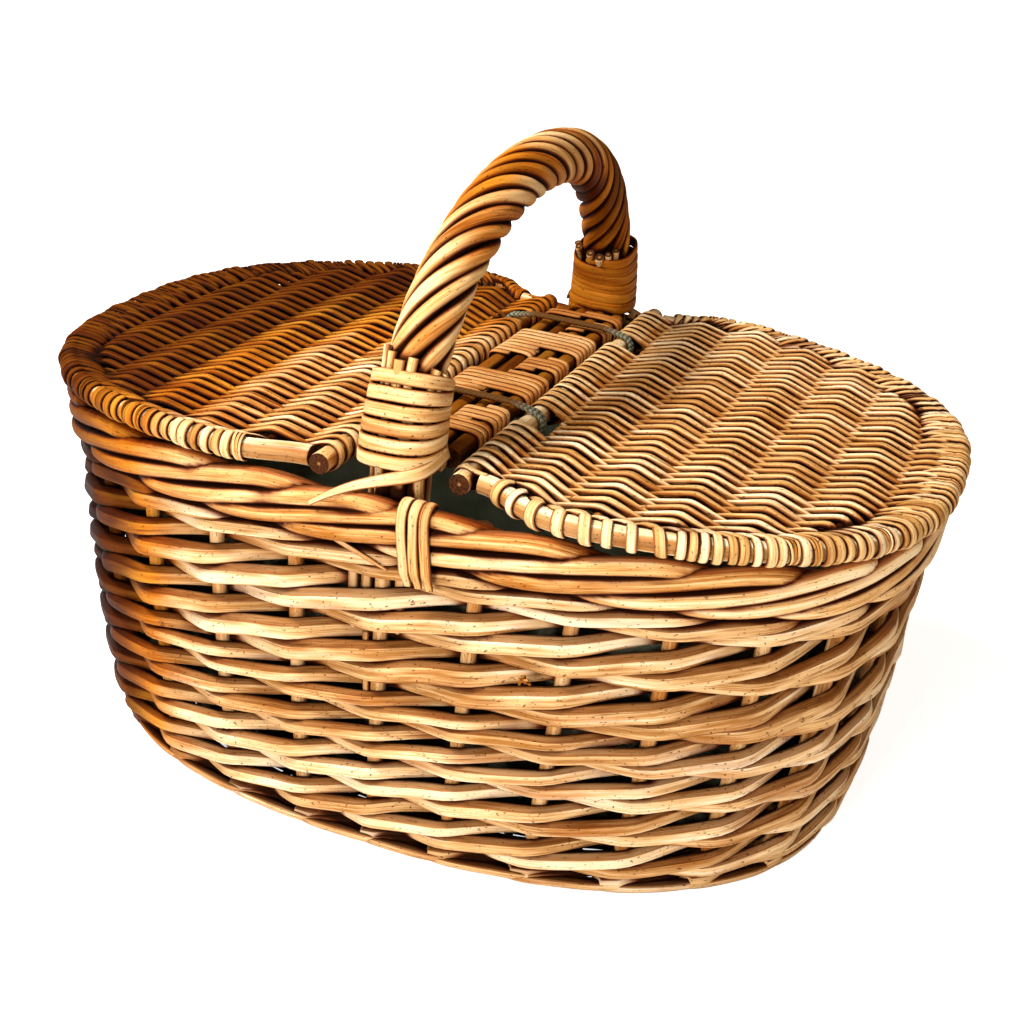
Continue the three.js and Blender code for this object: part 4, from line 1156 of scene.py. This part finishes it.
def make_lid_weave(lid):
    """Strands that go out over the hinge stick and come back under it. At the ties they start beyond it."""
    weave = Bundle(8, crevice_shade_span=(0.11, 0.32))
    tie_half_width = 8.5
    starts = np.linspace(pass_room - lid.corners[0], lid.corners[1] - pass_room, pass_count)
    starts[1:-1] += rng.uniform(-0.45, 0.45, pass_count - 2)
    radius = core_stick + strand_on_stick
    turn = np.linspace(TAU / 4, 3 * TAU / 4, 13)[1:-1]
    share = (turn - TAU / 4) / (TAU / 2)

    def strand(points, outward, width, thick, power, tone):
        where = lid.world(points)
        stain_and_shade = np.clip(left_back_darkening(where) + painted_flank_shade(lid, points), 0, 1)
        weave.rod(where, lid.turned(outward), thick, width, power, tone=tone, stain_and_shade=stain_and_shade)

    for first, second in starts.reshape(-1, 2):
        over, over_width, over_thick = make_lid_pass(lid, first, 1)
        under, under_width, under_thick = make_lid_pass(lid, second, -1)
        tone = rng.uniform(0, 1)
        if min(abs((first + second) / 2 - tie) for tie in lid.ties) < tie_half_width:
            free = over[:, 0] > hinge_room
            strand(over[free], UP, over_width[free], over_thick[free], 2.5, tone)
            free = under[:, 0] > hinge_room
            strand(under[free], -UP, under_width[free], under_thick[free], 2.5, tone)
            continue
        y = between(over[0][1], under[0][1], share)
        arc = columns(radius * np.cos(turn), y, radius * np.sin(turn))
        out = np.concatenate([UP + 0 * over, columns(np.cos(turn), 0, np.sin(turn)), -UP + 0 * under])
        width = np.concatenate([over_width[::-1], 3.0 + 0 * turn, under_width])
        thick = np.concatenate([over_thick[::-1], strand_on_stick + 0 * turn, under_thick])
        strand(np.concatenate([over[::-1], arc, under]), out, width, thick, 2.1, tone)
    weave.build(f"{lid.name}_lid_weave", "lid_willow", [f"{lid.name}_panel_weave"], lid.body)


def wrap_places(lid):
    """Distances along the bow stick where a turn of skein goes round it, from the front corner on."""
    places = [bare_lengths[lid.name]]
    while places[-1] < lid.length - 12:
        gap = loose_wraps if lid.has_loose_wraps(places[-1]) else close_wraps
        places.append(places[-1] + gap * rng.uniform(0.82, 1.18))
    return np.array(places) if lid.sign > 0 else lid.length - np.array(places)


def make_edge_wraps(lid):
    """Turns of skein round the bow stick, with both their ends tucked into the panel."""
    wraps = Bundle(10, crevice_shade_span=(0.1, 0.36))
    turn = np.linspace(wrap_first_turn * TAU, wrap_last_turn * TAU, 22)
    before = np.linspace(1, 0, 7)[:-1]
    after = np.linspace(0, 1, 5)[1:]
    count = len(before) + len(turn) + len(after)
    taper = np.concatenate([np.linspace(0.75, 1, len(before)), np.ones(count - len(before))])
    for distance in wrap_places(lid):
        loose = lid.has_loose_wraps(distance)
        radius = wrap_radius + 0.35 * math.sin(distance * TAU / 26) + rng.uniform(-0.2, 0.2)
        middle, inward = (values[0] for values in lid.at(np.array([distance])))
        along = np.cross(inward, UP)
        room = min(1.0, max(0.25, middle[0] / 45))
        reach = wrap_tail * room
        tail = unit(inward * 0.5 + np.array([-0.9, 0, 0]) * room)
        slant = rng.uniform(0.6, 3.6) + (rng.uniform(0, 4) if loose else 0)
        radial = -inward * np.cos(turn)[:, None] + UP * np.sin(turn)[:, None]
        ring = middle + radial * radius + along * (slant * (wrap_first_turn - turn / TAU))[:, None]
        top = ring[0] + tail * (before * reach)[:, None]
        top[:, 2] = ring[0][2] - wrap_tail_drop * before ** 2
        bottom = ring[-1] + tail * (after * reach * 0.7)[:, None]
        bottom[:, 2] = ring[-1][2] + wrap_tail_rise * after ** 2
        points = np.concatenate([top, ring, bottom])
        outward = np.concatenate([UP + 0 * top, radial, -UP + 0 * bottom])
        width = rng.uniform(*((2.3, 3.3) if loose else (2.15, 2.75)))
        splits = 3 if rng.uniform() < frayed_share and not loose else 1
        thick = wrap_half_thickness * (1 if splits == 1 else 0.6)
        for k in range(splits):
            aside = (k - (splits - 1) / 2) * 2 * width / splits
            spread = aside * (1 + 0.3 * np.sin(turn[0] - np.linspace(0, 5, count)))
            where = lid.world(points + along * spread[:, None])
            wraps.rod(where, lid.turned(outward), thick, taper * width / splits, 2.1,
                      stain_and_shade=left_back_darkening(where) + 0.3 * (k == 1))
    wraps.build(f"{lid.name}_edge_wraps", "lid_willow", body=lid.body)


# Studio: a pale floor, a white background and soft lamps
def make_studio():
    world = bpy.data.worlds.new("studio")
    bpy.context.scene.world = world
    n = Nodes(world)
    n.tree.nodes.clear()
    rays = n.add("ShaderNodeLightPath").node.outputs
    either = n.math("MAXIMUM", rays["Is Camera Ray"], rays["Is Transmission Ray"])
    soft = n.add("ShaderNodeBackground", {0: (1.0, 0.72, 0.42, 1), 1: 0.22})
    white = n.add("ShaderNodeBackground", {0: (1, 1, 1, 1), 1: 1.0})
    mix = n.add("ShaderNodeMixShader", {0: either, 1: soft, 2: white})
    n.set(n.tree.nodes.new("ShaderNodeOutputWorld").inputs[0], mix)
    lamps = (
        ("key", (-0.03, -1.3, 0.42), 0.3, 13, (1.0, 0.99, 0.98)),
        ("side", (1.3, -0.7, 0.7), 0.8, 6, (1.0, 0.98, 0.97)),
        ("top", (-0.5, -0.42, 1.2), 0.3, 24, (1.0, 0.99, 0.98)),
    )
    aim = Vector((0, 0, 0.14))
    for name, place, size, power, tint in lamps:
        data = bpy.data.lights.new(name, "AREA")
        data.shape = "SQUARE"
        data.size = size
        data.energy = power
        data.color = tint
        lamp = add_object(name, data)
        lamp.location = place
        lamp.rotation_euler = (aim - Vector(place)).to_track_quat("-Z", "Y").to_euler()
    n = Nodes(bpy.data.materials.new("floor"))
    seen = n.add("ShaderNodeLightPath", output="Is Camera Ray")
    apart = n.length(n.add("ShaderNodeTexCoord", output="Object"))
    n.surface({
        "Base Color": (0.82, 0.82, 0.82, 1),
        "Roughness": 0.9,
        "Emission Color": (1.0, 1.0, 1.0, 1.0),
        "Emission Strength": n.math("MULTIPLY", seen, n.span(apart, 0.3, 1.1, 0.78, 1.0)),
    })
    size = 6.0
    mesh = bpy.data.meshes.new("floor")
    corners = [(x * size, y * size, 0) for x, y in ((-1, -1), (1, -1), (1, 1), (-1, 1))]
    mesh.from_pydata(corners, [], [(0, 1, 2, 3)])
    mesh.materials.append(n.owner)
    floor = add_object("floor", mesh)
    bpy.context.scene.view_settings.view_transform = "Standard"


def make_front_and_back(*makers):
    for make in makers:
        for end in ("front", "back"):
            make(end)


make_wall()
make_stakes()
make_wall_bits()
make_base()
make_border()
make_liner()
make_handle()
make_front_and_back(make_collar, make_collar_ends)
make_bar()
make_bar_wrap()
make_front_and_back(make_tie, make_lash)
for lid in (Lid("right"), Lid("left")):
    make_sticks(lid)
    make_lid_weave(lid)
    make_edge_wraps(lid)
# Painted shade, with some soiling, in the crevices of every body.
for body in bulk_of:
    paint_crevice_shade(body)
make_studio()
